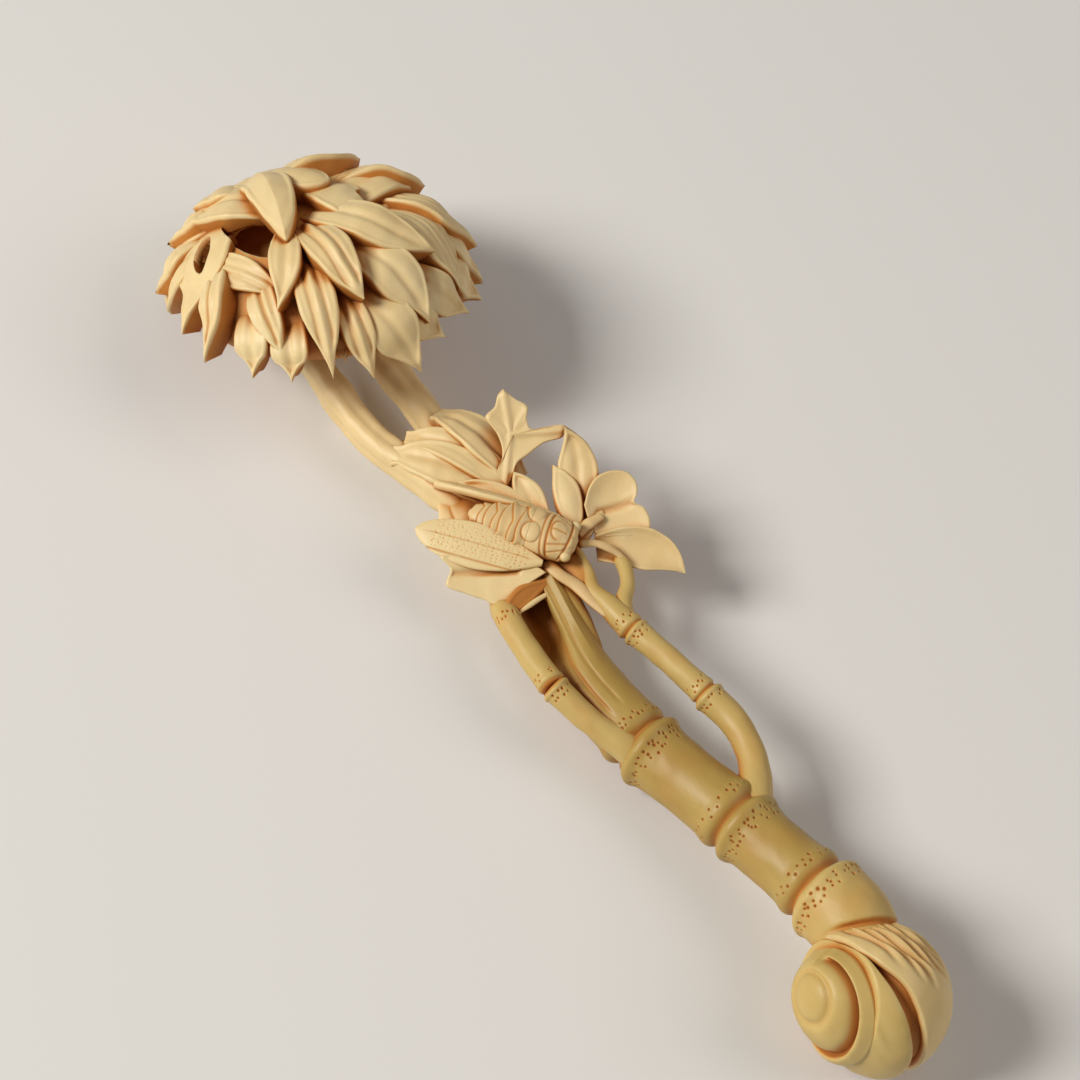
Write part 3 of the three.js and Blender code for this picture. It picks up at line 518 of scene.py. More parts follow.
def bake_modifiers(piece: bpy.types.Object) -> None:
    """Turns the modifiers of a piece into its mesh."""
    graph = bpy.context.evaluated_depsgraph_get()
    shaped = bpy.data.meshes.new_from_object(piece.evaluated_get(graph))
    piece.modifiers.clear()
    piece.data = shaped
    shaped.shade_smooth()


class Rib(Enum):
    """How the middle of a leaf is carved."""

    PLAIN = "plain"
    FOLD = "fold"
    GROOVE = "groove"
    RIDGE = "ridge"
    PLEATS = "pleats"
    KEEL = "keel"


# Cuts that carve each middle: place beside the middle line, width, height to add and painted shade
RIB_CUTS: dict[Rib, tuple] = {
    Rib.FOLD: ((0.0, 0.75, -0.4, 0.0), (0.0, 0.3, 0.0, 0.12)),
    Rib.GROOVE: ((0.0, 0.3, -0.34, 0.35), (0.8, 0.4, 0.16, 0.0)),
    Rib.RIDGE: ((0.0, 0.5, 0.32, 0.0), (1.05, 0.36, -0.3, 0.24)),
    Rib.PLEATS: ((0.7, 0.4, -0.2, 0.1), (2.3, 0.4, -0.2, 0.1), (3.7, 0.4, -0.2, 0.1)),
}
KEEL_HEIGHT = 0.7
KEEL_HALF_WIDTH = 2.6

# Points across a leaf's face, down each of its walls and along its underside
FACE_COLUMNS = 53
WALL_COLUMNS = 8
FLOOR_COLUMNS = 9
# Rounding of a leaf's edge, and the height, inset and width of the raised rim inside it
EDGE_ROUNDING = 0.24
RIM_HEIGHT = 0.16
RIM_INSET = 0.35
# Width of the plain margin in which the carved middle runs out
LEAF_MARGIN = 0.9
# Painted shade at the top of a free wall and of one that goes down to the dome, how much more shade its
# bottom gets, and the painted shade of the underside
FREE_WALL_SHADE = 0.12
DOME_WALL_SHADE = 0.46
WALL_SHADE_RISE = 0.4
FLOOR_SHADE = 0.6
# Height of the hand-cut waves on a leaf
LEAF_HAND = 0.09


@dataclass(frozen=True)
class Leaf:
    """Form of one carved leaf, in millimetres and in shares of its length.

    Attributes:
        width: Widest place.
        rib: How the middle is carved.
        thick: Height of the edge over the leaf's line.
        depth: How far the side walls go down below the line.
        crown: Height of the middle over the edges, below zero for a dish.
        root: Width of the root as a share of the widest place.
        widest: Where the leaf is widest.
        tip: Width of the tip as a share of the widest place.
        point: How pointed the tip is, 0.5 for a round one.
        spike: Share of hollowed flanks in the tip, from 0 for a plain one to 1 for a spike.
        undercut: Width of the underside as a share of the top.
        tilt: How much higher the right side lies, per millimetre of width.
        painted_shade: Painted shade over the whole face, which darkens it.
        rows: Rings along the leaf.
    """

    width: float
    rib: Rib = Rib.FOLD
    thick: float = 1.1
    depth: float = 1.7
    crown: float = 0.3
    root: float = 0.6
    widest: float = 0.4
    tip: float = 0.015
    point: float = 1.05
    spike: float = 0.0
    undercut: float = 0.86
    tilt: float = 0.0
    painted_shade: float = 0.0
    rows: int = 76

    def outline(self, share: Array) -> Array:
        """Half the width at shares of the length."""
        swell = self.root + (1.0 - self.root) * np.sin(math.pi / 2 * np.clip(share / self.widest, 0.0, 1.0))
        fade = np.clip((share - self.widest) / (1.0 - self.widest), 0.0, 1.0)
        plain = (1.0 - fade ** 1.8) ** self.point
        hollowed = ease(1.0, 0.15, fade)
        taper = np.maximum(self.tip, (1.0 - self.spike) * plain + self.spike * hollowed)
        return 0.5 * self.width * np.where(share < self.widest, swell, taper)

    def relief(self, offset: Array, share: Array) -> tuple[Array, Array]:
        """Carved middle of the leaf.

        Args:
            offset: Distance from the middle line.
            share: Share of the length.

        Returns:
            Height to add, and painted shade.
        """
        fade = ease(0.02, 0.14, share) * (1.0 - ease(0.8, 0.97, share))
        aside = np.abs(offset)
        height = np.zeros_like(offset)
        cut = np.zeros_like(offset)
        if self.rib is Rib.KEEL:
            height = KEEL_HEIGHT * np.maximum(0.0, 1.0 - aside / KEEL_HALF_WIDTH)
        for place, width, rise, depth in RIB_CUTS.get(self.rib, ()):
            line = bell(aside, place, width) * fade
            height = height + rise * line
            cut = cut + depth * line
        return height, cut

    def carve(self, carving: Carving, centres: Array, normals: Array, bend: float = 0.0,
              depth: Array | None = None) -> None:
        """Adds the leaf's skin to a carving.

        Args:
            carving: Carving that gets the skin.
            centres: Places along the leaf's line.
            normals: Direction that the leaf faces at each place.
            bend: How much its sides fall away, per square millimetre.
            depth: How far the side walls go down at each place, if not evenly.
        """
        rows = len(centres)
        share = np.linspace(0.0, 1.0, rows)[:, None]
        along = unit(np.gradient(centres, axis=0))
        side = unit(np.cross(along, normals))
        over = np.cross(side, along)
        half = self.outline(share)
        across = np.linspace(-1.0, 1.0, FACE_COLUMNS)[None]
        top_x = across * half
        from_edge = half - np.abs(top_x)
        edge = np.minimum(EDGE_ROUNDING, 0.5 * half)
        swell = self.crown * (1.0 - across ** 2) * half * 2.0 / self.width
        carved, cut = self.relief(top_x, share)
        margin = ease(0.0, LEAF_MARGIN, from_edge)
        rim = RIM_HEIGHT * bell(from_edge, RIM_INSET, RIM_INSET) * ease(0.3, 1.2, half)
        thick = self.thick * (1.0 - 0.35 * share ** 3)
        top_z = thick + swell - rounded_edge(from_edge, edge) + carved * margin + rim
        low = self.depth * (1.0 - 0.45 * share ** 2) if depth is None else depth[:, None]
        wall = np.linspace(0.0, 1.0, WALL_COLUMNS)[None, 1:]
        wall_x = half * (1.0 + (self.undercut - 1.0) * wall)
        wall_z = top_z[:, -1:] + (-low - top_z[:, -1:]) * wall
        tilted = self.tilt * ease(0.1, 0.5, share)
        raised = tilted * wall_x * (1.0 - wall)
        floor_x = half * self.undercut * np.linspace(1.0, -1.0, FLOOR_COLUMNS)[None, 1:-1]
        floor_z = np.broadcast_to(-low, floor_x.shape)
        x = np.hstack([top_x, wall_x, floor_x, -wall_x[:, ::-1]])
        z = np.hstack([top_z + tilted * top_x, wall_z + raised, floor_z, (wall_z - raised)[:, ::-1]])
        # Painted shade on the walls, darker towards their bottom, and on the underside
        wall_shade = FREE_WALL_SHADE if depth is None else DOME_WALL_SHADE
        shade = np.broadcast_to(wall_shade + WALL_SHADE_RISE * wall, wall_x.shape)
        face = np.maximum(self.painted_shade, cut * margin)
        hollow = np.hstack([face, shade, np.full(floor_x.shape, FLOOR_SHADE), shade[:, ::-1]])
        carving.tube(swept(centres, side, over, x, z - bend * x ** 2), hollow, LEAF_HAND)


@dataclass(frozen=True)
class Dome:
    """Flattened dome of the head, which leans towards its own end."""

    centre: Place = (-57.5, 0.3, 13.0)
    radius: float = 20.5
    height: float = 15.8
    lean: float = math.radians(23.0)
    roll: float = math.radians(4.0)

    def axes(self) -> tuple[Array, Array, Array]:
        """Directions towards the knob, to the right and out of the crown."""
        rise = math.cos(self.lean)
        crown = np.array([-math.sin(self.lean), math.sin(self.roll) * rise, math.cos(self.roll) * rise])
        near = np.array([1.0, 0.0, 0.0])
        near = unit(near - crown * near.dot(crown))
        return near, np.cross(crown, near), crown

    def at(self, places: Array, lift: Array) -> tuple[Array, Array]:
        """Places over the dome.

        Args:
            places: Degrees from the crown towards the knob and to the right.
            lift: Height over the dome for each place.

        Returns:
            The places and the directions that the dome faces there.
        """
        near, right, crown = self.axes()
        polar = np.radians(np.hypot(places[..., 0], places[..., 1]))[..., None]
        turn = np.arctan2(places[..., 1], places[..., 0])[..., None]
        out = np.cos(turn) * near + np.sin(turn) * right
        normals = unit(out * np.sin(polar) / self.radius + crown * np.cos(polar) / self.height)
        flat = out * self.radius * np.sin(polar)
        points = np.asarray(self.centre) + flat + crown * self.height * np.cos(polar)
        return points + normals * np.asarray(lift)[..., None], normals


@dataclass(frozen=True)
class DomeLeaf:
    """Leaf of the head.

    Attributes:
        start: Root, in degrees from the crown towards the knob and to the right.
        via: Place half way along.
        end: Tip.
        lift: Height of its line over the dome.
        leaf: Its form.
        sink: Height of its root over the dome.
        flare: How far its tip turns up.
    """

    start: tuple[float, float]
    via: tuple[float, float]
    end: tuple[float, float]
    lift: float
    leaf: Leaf
    sink: float = -2.1
    flare: float = 0.6

    def carve(self, carving: Carving, dome: Dome) -> None:
        """Adds the leaf to a carving; its root lies low and its tip stands proud."""
        share = np.linspace(0.0, 1.0, self.leaf.rows)
        places = through(self.start, self.via, self.end, share)
        rise = self.sink + (self.lift - self.sink) * ease(-0.1, 0.55, share)
        rise = rise + self.flare * ease(0.65, 1.0, share)
        centres, normals = dome.at(places, rise)
        depth = np.maximum(0.8, rise + 0.5) * (1.0 - 0.3 * share ** 3)
        self.leaf.carve(carving, centres, normals, 0.5 / dome.radius, depth)


# Leaves of the head that the front shows, from the crown outwards
HEAD_LEAVES: dict[str, list[DomeLeaf]] = {
    "front": [DomeLeaf((3, -10), (33, -15), (55, -16), 2.9,
                       Leaf(6.6, Rib.RIDGE, thick=1.3, root=0.4), -2.6, 0.4)],
    "broad": [DomeLeaf((-4, -3), (26, 7), (46, 27), 2.3, Leaf(7.4, root=0.8, widest=0.55, tilt=-0.1))],
    "folded": [
        DomeLeaf((-48, -2), (-14, -11), (16, -25), 3.0,
                 Leaf(7.0, Rib.KEEL, root=0.8, widest=0.5, point=0.85), -0.5, -1),
        DomeLeaf((6, -21), (24, -32), (37, -47), 2.4, Leaf(5.0, root=0.5, spike=0.4), -1.0),
    ],
    "crown": [
        DomeLeaf((-40, -4), (-20, 1), (-2, 8), 1.8,
                 Leaf(9.0, Rib.PLAIN, crown=1.0, root=0.7, point=0.5), -0.4, 0.2),
        DomeLeaf((-31, -9), (-25, 14), (-22, 38), 3.1, Leaf(7.0, root=0.8, widest=0.6, tilt=0.22), -1.0, 0.6),
    ],
    "flap": [
        DomeLeaf((-18, 11), (2, 9), (24, 12), 0.9,
                 Leaf(8.6, Rib.PLAIN, root=0.9, tip=0.5, point=0.6), -1.0, -2.0),
        DomeLeaf((-18, 20), (-9, 39), (0, 56), 3.2, Leaf(5.8, root=0.8, widest=0.6, tilt=0.2), -1.0, 0.6),
    ],
    "right_long": [DomeLeaf((8, 28), (33, 35), (62, 40), 1.7, Leaf(8.6, Rib.PLEATS, widest=0.55, spike=0.5))],
    "right_low": [DomeLeaf((22, -6), (49, 4), (75, 12), 2.0, Leaf(8.0, widest=0.5, tilt=-0.12, spike=0.4))],
    "middle": [DomeLeaf((18, -22), (47, -33), (74, -45), 2.6, Leaf(5.8, Rib.RIDGE, spike=0.5), -2.6, 0.9)],
    "strap": [
        DomeLeaf((-18, -54), (8, -47), (31, -41), 0.4, Leaf(5.6, Rib.PLEATS, root=0.8, tip=0.3), -1.0, -1.0),
        DomeLeaf((12, -44), (33, -53), (51, -60), 0.9, Leaf(5.0, Rib.GROOVE), -2.0),
    ],
    "left_rib": [DomeLeaf((-10, -54), (8, -64), (18, -86), 2.6,
                          Leaf(5.4, Rib.GROOVE, tilt=-0.25, spike=0.6), -1.6, 1.2)],
    "left_broad": [DomeLeaf((-46, -24), (-19, -52), (-4, -83), 0.5,
                            Leaf(11.4, Rib.PLAIN, spike=0.7), -1.4, 2.4)],
    "left_edge": [DomeLeaf((-42, -32), (-46, -54), (-46, -70), 2.0,
                           Leaf(7.2, Rib.GROOVE, spike=0.8), -2.0, 1.4)],
    "left_top": [
        DomeLeaf((-34, -14), (-46, -32), (-51, -47), 2.3, Leaf(6.8, Rib.GROOVE, spike=0.8), -2.0, 1.2),
        DomeLeaf((-30, -8), (-38, -19), (-45, -30), 2.7,
                 Leaf(5.6, Rib.PLAIN, root=0.7, spike=0.5), -1.6, 0.8),
    ],
    "right_outer": [DomeLeaf((-6, 32), (16, 50), (33, 68), 2.6,
                             Leaf(8.4, Rib.PLEATS, widest=0.5, spike=0.8), -2.1, 1.5)],
    "right_rim": [
        DomeLeaf((16, 42), (35, 58), (48, 74), 2.0, Leaf(7.4, spike=0.8), -2.1, 1.5),
        DomeLeaf((38, 34), (54, 50), (60, 67), 1.7, Leaf(6.6, spike=0.8), -2.1, 1.5),
    ],
    "right_tip": [
        DomeLeaf((46, 13), (64, 27), (72, 45), 1.8, Leaf(7.0, spike=0.8), -2.1, 1.3),
        DomeLeaf((54, 0), (73, 11), (83, 23), 1.6, Leaf(7.0, spike=0.8), -2.1, 1.3),
    ],
    "near_rim": [DomeLeaf((44, -14), (72, -7), (95, 3), 1.9, Leaf(8.4, tilt=-0.1, spike=0.6), -2.4, 1.2)],
    "near_slim": [
        DomeLeaf((40, -18), (66, -24), (88, -26), 1.7, Leaf(5.0, Rib.RIDGE, spike=0.5), -2.4, 0.8),
        DomeLeaf((50, -30), (64, -34), (75, -36), 0.2, Leaf(4.4, Rib.PLAIN)),
    ],
    "left_point": [DomeLeaf((20, -54), (35, -68), (45, -79), 1.2, Leaf(5.6, spike=0.8), -2.6, 1.2)],
    "low_point": [DomeLeaf((38, -47), (53, -57), (63, -65), 1.2, Leaf(5.8, spike=0.8), -2.6, 1.2)],
}


@dataclass(frozen=True)
class Piercing:
    """Opening through the head.

    Attributes:
        start: First place of its line, in degrees from the crown towards the knob and to the right.
        via: Place half way along.
        end: Last place.
        width: Its width.
        leaves: Leaves that it cuts.
        reach: How far it cuts in and out, in walls of the dome.
        shade: Painted shade on its sides.
    """

    start: tuple[float, float]
    via: tuple[float, float]
    end: tuple[float, float]
    width: float
    leaves: tuple[str, ...]
    reach: float = 3.2
    shade: float = 0.9

    def cutter(self, dome: Dome, wall: float) -> bpy.types.Object:
        """Solid that cuts the opening.

        Args:
            dome: Dome of the head.
            wall: Thickness of the dome's wall.

        Returns:
            The cutter, which is no piece of the part.
        """
        rows, columns = 40, 32
        share = np.linspace(0.0, 1.0, rows)
        places = through(self.start, self.via, self.end, share)
        centres, _ = dome.at(places, np.full(rows, -0.5 * wall))
        normal = dome.at(np.array([self.via], float), np.zeros(1))[1][0]
        across = unit(np.cross(unit(np.gradient(centres, axis=0)), normal))
        swell = 0.5 * self.width * np.sqrt(np.maximum(0.02, 1.0 - (2.0 * share - 1.0) ** 2))
        turn = turns(columns)[None]
        deep = np.sin(turn) * self.reach * wall * np.ones_like(share[:, None])
        rings = swept(centres, across, np.tile(normal, (rows, 1)), np.cos(turn) * swell[:, None], deep)
        made = bpy.data.objects.new("piercing", Carving.of("piercing", rings, self.shade, 0.0).mesh())
        bpy.context.scene.collection.objects.link(made)
        return made


PIERCINGS: list[Piercing] = [
    Piercing((-29, -27), (-8, -28), (14, -29), 6.8, ("left_broad", "left_top", "left_edge", "strap")),
    Piercing((-29, -39), (-20, -48), (-11, -58), 3.6, ("left_broad", "left_edge", "far_end")),
    Piercing((3, 17), (12, 20), (21, 22), 3.6, ("flap", "right_long")),
]

# Directions, in degrees round the crown, of the leaf groups on the head's far side
FAR_GROUPS: dict[str, float] = {"far_right": 88.0, "far_middle": 130.0, "far_left": 172.0, "far_end": 208.0}

# Each far group: turn from its direction, start and end in degrees from the crown, lift, and form
FAR_LEAVES: list[tuple[float, float, float, float, Leaf]] = [
    (6.0, 12.0, 62.0, 2.0, Leaf(9.0, Rib.FOLD)),
    (-13.0, 28.0, 82.0, 1.6, Leaf(8.4, Rib.RIDGE)),
    (0.0, 40.0, 97.0, 1.4, Leaf(9.4, Rib.FOLD)),
    (22.0, 44.0, 99.0, 1.1, Leaf(9.0, Rib.RIDGE)),
]
FAR_SWEEP = 5.0


@dataclass
class LeafHead:
    """Head of the scepter: a pierced dome under layered leaves, and the two stalks that carry it."""

    dome: Dome = field(default_factory=Dome)
    wall: float = 2.4
    rim: float = math.radians(84.0)
    core_shade: float = 0.45
    stalk_radius: float = 2.5
    stalk_spread: float = 5.0
    stalk_level: float = 7.8
    pockets: dict = field(default_factory=lambda: {"middle": ((-13, -37), 10.4)})
    pocket_drop: float = 3.2
    pocket_wall: float = 0.8
    pocket_shade: float = 0.46

    def core(self) -> Carving:
        """Dome under the leaves, from the inside of its crown over the rim to the outside."""
        rows, columns = 60, 180
        inner = np.linspace(0.01, self.rim, rows)
        outer = inner[::-1]
        inner_inset = self.wall - 0.5 * bell(inner, self.rim, 0.05)
        outer_inset = 0.5 * bell(outer, self.rim, 0.05)
        polar = np.concatenate([inner, outer])[:, None]
        inset = np.concatenate([inner_inset, outer_inset])[:, None]
        turn = turns(columns)[None]
        flat = (self.dome.radius - inset) * np.sin(polar)
        high = (self.dome.height - inset) * np.cos(polar) * np.ones_like(turn)
        rings = turned(self.dome.centre, self.dome.axes(), flat, turn, high)
        return Carving.of("head_core", rings, self.core_shade, 0.12)

    def pocket(self, carving: Carving, place: tuple, radius: float) -> None:
        """Adds a bowl under an opening, which closes it off from the hollow below.

        Args:
            carving: Carving that gets the bowl.
            place: Middle of the opening, in degrees from the crown.
            radius: Radius of the bowl.
        """
        middle, normals = self.dome.at(np.array([place], float), np.zeros(1))
        out = unit(np.cross(normals[0], np.array([0.3, 1.0, 0.2])))
        aside = np.cross(normals[0], out)
        rows, columns = 40, 72
        polar = math.pi / 2 * np.linspace(0.02, 1.0, rows)[:, None]
        inner = np.hstack([radius * np.sin(polar), -self.pocket_drop - radius * 0.5 * np.cos(polar)])
        outer = inner[::-1] * np.array([1.02, 1.0]) - np.array([0.0, self.pocket_wall])
        profile = np.vstack([inner, outer])
        axes = out, aside, normals[0]
        rings = turned(middle[0], axes, profile[:, :1], turns(columns)[None], profile[:, 1:])
        carving.tube(rings, self.pocket_shade, 0.0)

    def leaves(self) -> list[Carving]:
        """All the leaves, one carving for each node."""
        made = []
        for name, group in HEAD_LEAVES.items():
            carving = Carving(f"head_leaf_{name}")
            for leaf in group:
                leaf.carve(carving, self.dome)
            if name in self.pockets:
                self.pocket(carving, *self.pockets[name])
            made.append(carving)
        for name, direction in FAR_GROUPS.items():
            carving = Carving(f"head_leaf_{name}")
            for aside, start, end, lift, leaf in FAR_LEAVES:
                places = []
                for polar, sweep in ((start, -FAR_SWEEP), ((start + end) / 2, FAR_SWEEP), (end, 0.0)):
                    turn = math.radians(direction + aside + sweep)
                    places.append((polar * math.cos(turn), polar * math.sin(turn)))
                DomeLeaf(*places, lift, leaf).carve(carving, self.dome)
            made.append(carving)
        return made

    def stalk(self, name: str, side: int) -> Carving:
        """One stalk: squarish, with a knuckle, from the spray up into the dome.

        Args:
            name: Node that it stands for.
            side: 1 for the right stalk and -1 for the left one.

        Returns:
            The carving.
        """
        top = self.dome.at(np.array([[18.0 - 2.0 * side, side * 16.0]]), np.array([-0.6 * self.wall]))[0][0]
        spread = side * self.stalk_spread
        root_side = (0.6 if side > 0 else -0.35) * self.stalk_spread
        knots = [(-15.0, root_side * 0.5, self.stalk_level + 1.6), (-23.0, root_side, self.stalk_level + 1.0),
                 (-34.05, 0.95 * spread, self.stalk_level), (-44.8, spread, self.stalk_level + 0.2),
                 (-55.8, 0.95 * spread, self.stalk_level + 3.6), tuple(top)]
        rows, columns = 150, 72
        share = np.linspace(0.0, 1.0, rows)
        turn = turns(columns)[None]
        run = share[:, None]
        twist = turn - 0.5 - 0.7 * run
        facets = 0.075 * np.cos(4.0 * twist) - 0.02 * np.cos(8.0 * twist)
        knuckle = 0.11 * bell(run, 0.5, 0.032) - 0.05 * bell(run, 0.57, 0.05) + 0.06 * bell(run, 0.74, 0.045)
        flare = 0.2 * (1.0 - ease(0.1, 0.3, run)) + 1.1 * ease(0.86, 1.0, run)
        radius = self.stalk_radius * (1.02 - 0.08 * run + facets + knuckle + flare) * closing(run, 0.16, 0.0)
        rings = rod(spline(knots, share), radius, columns, np.array([0.0, 1.0, 0.0]))
        return Carving.of(name, rings, 0.0, 0.1)

    def build(self, wood: bpy.types.Material) -> list[bpy.types.Object]:
        """Builds and dresses the head."""
        carvings = [self.core(), *self.leaves(), self.stalk("stalk_left", -1), self.stalk("stalk_right", 1)]
        pieces = {carving.node: carving.piece(wood) for carving in carvings}
        skins = {carving.node: len(carving.points) for carving in carvings}
        for piercing in PIERCINGS:
            cutter = piercing.cutter(self.dome, self.wall)
            for node in ("head_core", *(f"head_leaf_{name}" for name in piercing.leaves)):
                modifier = pieces[node].modifiers.new("piercing", "BOOLEAN")
                modifier.operation = "DIFFERENCE"
                modifier.solver = "EXACT"
                modifier.use_self = skins[node] > 1
                modifier.object = cutter
                bake_modifiers(pieces[node])
            bpy.data.objects.remove(cutter)
        return list(pieces.values())


@dataclass(frozen=True)
class SprayLeaf:
    """Leaf of the spray: three places on its line, the way it faces, and its form."""

    start: Place
    via: Place
    end: Place
    face: Place
    leaf: Leaf

    def carve(self, carving: Carving) -> None:
        """Adds the leaf to a carving."""
        share = np.linspace(0.0, 1.0, self.leaf.rows)
        centres = through(self.start, self.via, self.end, share)
        self.leaf.carve(carving, centres, np.tile(unit(np.array(self.face)), (len(share), 1)))


@dataclass(frozen=True)
class LobedLeaf:
    """Leaf of several lobes, drawn as an outline round its heart.

    Attributes:
        heart: Place of its heart.
        face: Direction that it faces.
        outline: Corners in turn, each as distances to the photograph's right of the heart and above it.
        veins: Start, end and height of each vein, below zero for a crease.
        thick: Thickness.
        dish: How far the edge stands over the heart.
        across: Direction to the photograph's right.
        rounding: Rounding of the edge.
        vein_width: Width of a vein.
        undercut: Width of the underside as a share of the face.
    """

    heart: Place
    face: Place
    outline: list[tuple[float, float]]
    veins: list[tuple[float, float, float, float, float]]
    thick: float = 1.2
    dish: float = 0.5
    across: Place = (0.584, 0.79, 0.185)
    rounding: float = 0.4
    vein_width: float = 0.6
    undercut: float = 0.94

    def carve(self, carving: Carving) -> None:
        """Adds the leaf to a carving."""
        face = unit(np.array(self.face))
        across = np.array(self.across)
        across = unit(across - face * across.dot(face))
        corners = [(aside, above, 0.0) for aside, above in [*self.outline, self.outline[0]]]
        face_rows, floor_rows, columns = 52, 18, 280
        edge = spline(corners, np.linspace(0.0, 1.0, columns, endpoint=False))[:, :2]
        share = np.linspace(0.02, 1.0, face_rows)[:, None]
        flat = share[..., None] * edge
        to_edge = (1.0 - share) * np.linalg.norm(edge, axis=-1)
        top = 0.5 * self.thick + self.dish * share ** 2 - rounded_edge(to_edge, self.rounding)
        raised, creased = np.zeros_like(top), np.zeros_like(top)
        inland = ease(0.0, 0.7, to_edge)
        for *places, height in self.veins:
            start, way = np.array(places[:2]), np.array(places[2:]) - np.array(places[:2])
            along = np.clip((flat - start) @ way / way.dot(way), 0.0, 1.0)
            far = np.linalg.norm(flat - start - along[..., None] * way, axis=-1)
            line = bell(far, 0.0, self.vein_width) * inland
            raised = np.maximum(raised, max(0.0, height) * line)
            creased = np.maximum(creased, max(0.0, -height) * line)
        under = np.linspace(1.0, 0.02, floor_rows)[:, None]
        flat = np.concatenate([flat, under[..., None] * edge * self.undercut])
        low = -0.5 * self.thick + self.dish * under ** 2 * np.ones(len(edge))
        height = np.vstack([top + raised - creased, low])
        rings = np.array(self.heart) + flat[..., :1] * across + flat[..., 1:] * np.cross(face, across)
        rings = rings + height[..., None] * face
        # Painted shade in the creases and on the underside
        carving.tube(rings, np.vstack([0.6 * creased, np.full(low.shape, 0.5)]), 0.05)


# Leaves of the spray; a node's further leaves are blades of the same carving
SPRAY_LEAVES: dict[str, list[SprayLeaf | LobedLeaf]] = {
    "tall": [SprayLeaf((-6.6, 11, 11.6), (-12.6, 15.4, 15.4), (-17.2, 15.5, 19.2), (0.5, -0.5, 0.7),
                       Leaf(6.2, Rib.FOLD, depth=0.5, point=1.2))],
    "bud": [SprayLeaf((-4.6, 9.4, 12.2), (-10, 11.8, 13.6), (-14.4, 12.2, 15), (0.4, -0.3, 0.85),
                      Leaf(4.4, Rib.PLAIN, crown=0.6, depth=0.8))],
    "sweep": [SprayLeaf((-0.6, 10.8, 12), (4.2, 17, 13.2), (9.3, 20, 11.6), (0.2, -0.35, 0.9),
                        Leaf(6.4, Rib.PLAIN, thick=0.8, crown=-1.2, depth=1.2))],
    "inner": [SprayLeaf((-8, 6.4, 12.2), (-13, 6.8, 13.2), (-16.6, 6.7, 14.4), (0.4, -0.3, 0.85),
                        Leaf(4.4, Rib.FOLD, depth=0.9))],
    "upper": [SprayLeaf((-16.5, 7.8, 11.2), (-25.2, 6.4, 13.1), (-32, 4.6, 10.6), (0, 0.2, 1),
                        Leaf(7.4, Rib.FOLD, thick=0.8, depth=1.6, tip=0.45, point=0.5))],
    "middle": [SprayLeaf((-15.5, 5.8, 11.4), (-24.4, 2.6, 12.8), (-31, -1.6, 10.2), (0.05, -0.05, 1),
                         Leaf(6.0, Rib.FOLD, thick=0.8, depth=1.6, tip=0.45, point=0.5))],
    "lower": [SprayLeaf((-14.5, 3.8, 11.2), (-23, 0, 12.2), (-29.8, -4.8, 9.6), (0.05, -0.25, 1),
                        Leaf(7.4, Rib.FOLD, thick=0.8, depth=1.9, tip=0.45, point=0.5))],
    "thin": [SprayLeaf((-9, 5.6, 11.8), (-15, 2.9, 12.6), (-20.2, -0.8, 12), (0.1, -0.2, 1),
                       Leaf(4.0, Rib.FOLD, depth=1.3))],
    "under": [
        LobedLeaf((-4.9, -5.6, 11.2), (0.3, -0.4, 0.8), [
            (8.4, 0.6), (6.8, 1.6), (2.6, 2.2), (-3.7, 3.1), (-6.9, 2.9), (-5.5, 1), (-6.1, -1.2),
            (-3.2, -2.5), (-0.4, -3.5), (1.4, -4.3), (2.6, -4.2), (4, -2.7), (6.2, -0.9)],
            [(-5.4, 0.4, 4, 0.9, -0.45)], 1.3, 0.3),
        # Second blade, painted with shade all over
        SprayLeaf((0.9, -5.9, 10.2), (0.2, -2.4, 11.3), (0.5, 2.5, 11.8), (0.5, -0.2, 0.85),
                  Leaf(3.0, Rib.PLAIN, thick=0.5, depth=0.8, root=0.7, tip=0.5, painted_shade=0.6)),
        SprayLeaf((1.9, -5.6, 9.9), (1.7, -1.9, 10.9), (1.8, 2.2, 11.2), (0.5, -0.2, 0.85),
                  Leaf(0.7, Rib.PLAIN, thick=0.7, crown=0.1, depth=0.3, root=1.0, tip=1.0)),
    ],
}

STAR_LEAF = LobedLeaf((-21.3, 9.9, 15.4), (0.34, -0.31, 0.89), [
    (-1.6, 6.9), (0.1, 5.6), (2.1, 4.3), (2, 2.6), (2.6, 1.1), (5.3, 1.4), (7.6, 1.6), (7.4, 0), (4.7, -1),
    (2.1, -2.9), (0.5, -4.2), (-0.3, -6.6), (-1.1, -8.1), (-2, -6.9), (-2.4, -5.4), (-1.7, -3.6),
    (-1.8, -1.6), (-2.4, 0.1), (-4.2, 2.7), (-2.8, 4.2), (-2.4, 5.8)],
    [(-1.2, -7.5, -0.4, 0, 0.4), (-0.4, 0, -1.4, 6, 0.4), (-0.2, 0.2, 7, 0.8, 0.45), (0, 0.4, 1.9, 3.8, 0.25),
     (-0.4, 0.2, -3.5, 2.5, 0.25)])
ROUND_LEAF = LobedLeaf((-4.6, 15.2, 13.6), (0.3, -0.3, 0.9), [
    (-3.4, 0.5), (-2.6, 3.2), (-1.3, 4.9), (0.5, 5.7), (2.9, 5.6), (4.3, 4.2), (4.5, 2.4), (4.1, 1.2),
    (5.5, 0.3), (6.4, -1.6), (6.1, -3.3), (4.2, -3.9), (1.6, -4), (-1.3, -4), (-2.6, -2.1)],
    [(-1, -0.4, 4.1, 1.2, -0.5)], 1.2, 1.2)
ROUND_STEM = SprayLeaf((-3, 8, 11), (-3.9, 11, 12.4), (-4.4, 14.6, 12.8), (0.3, -0.3, 0.9),
                       Leaf(2.8, Rib.PLAIN, root=1.0, tip=0.6))


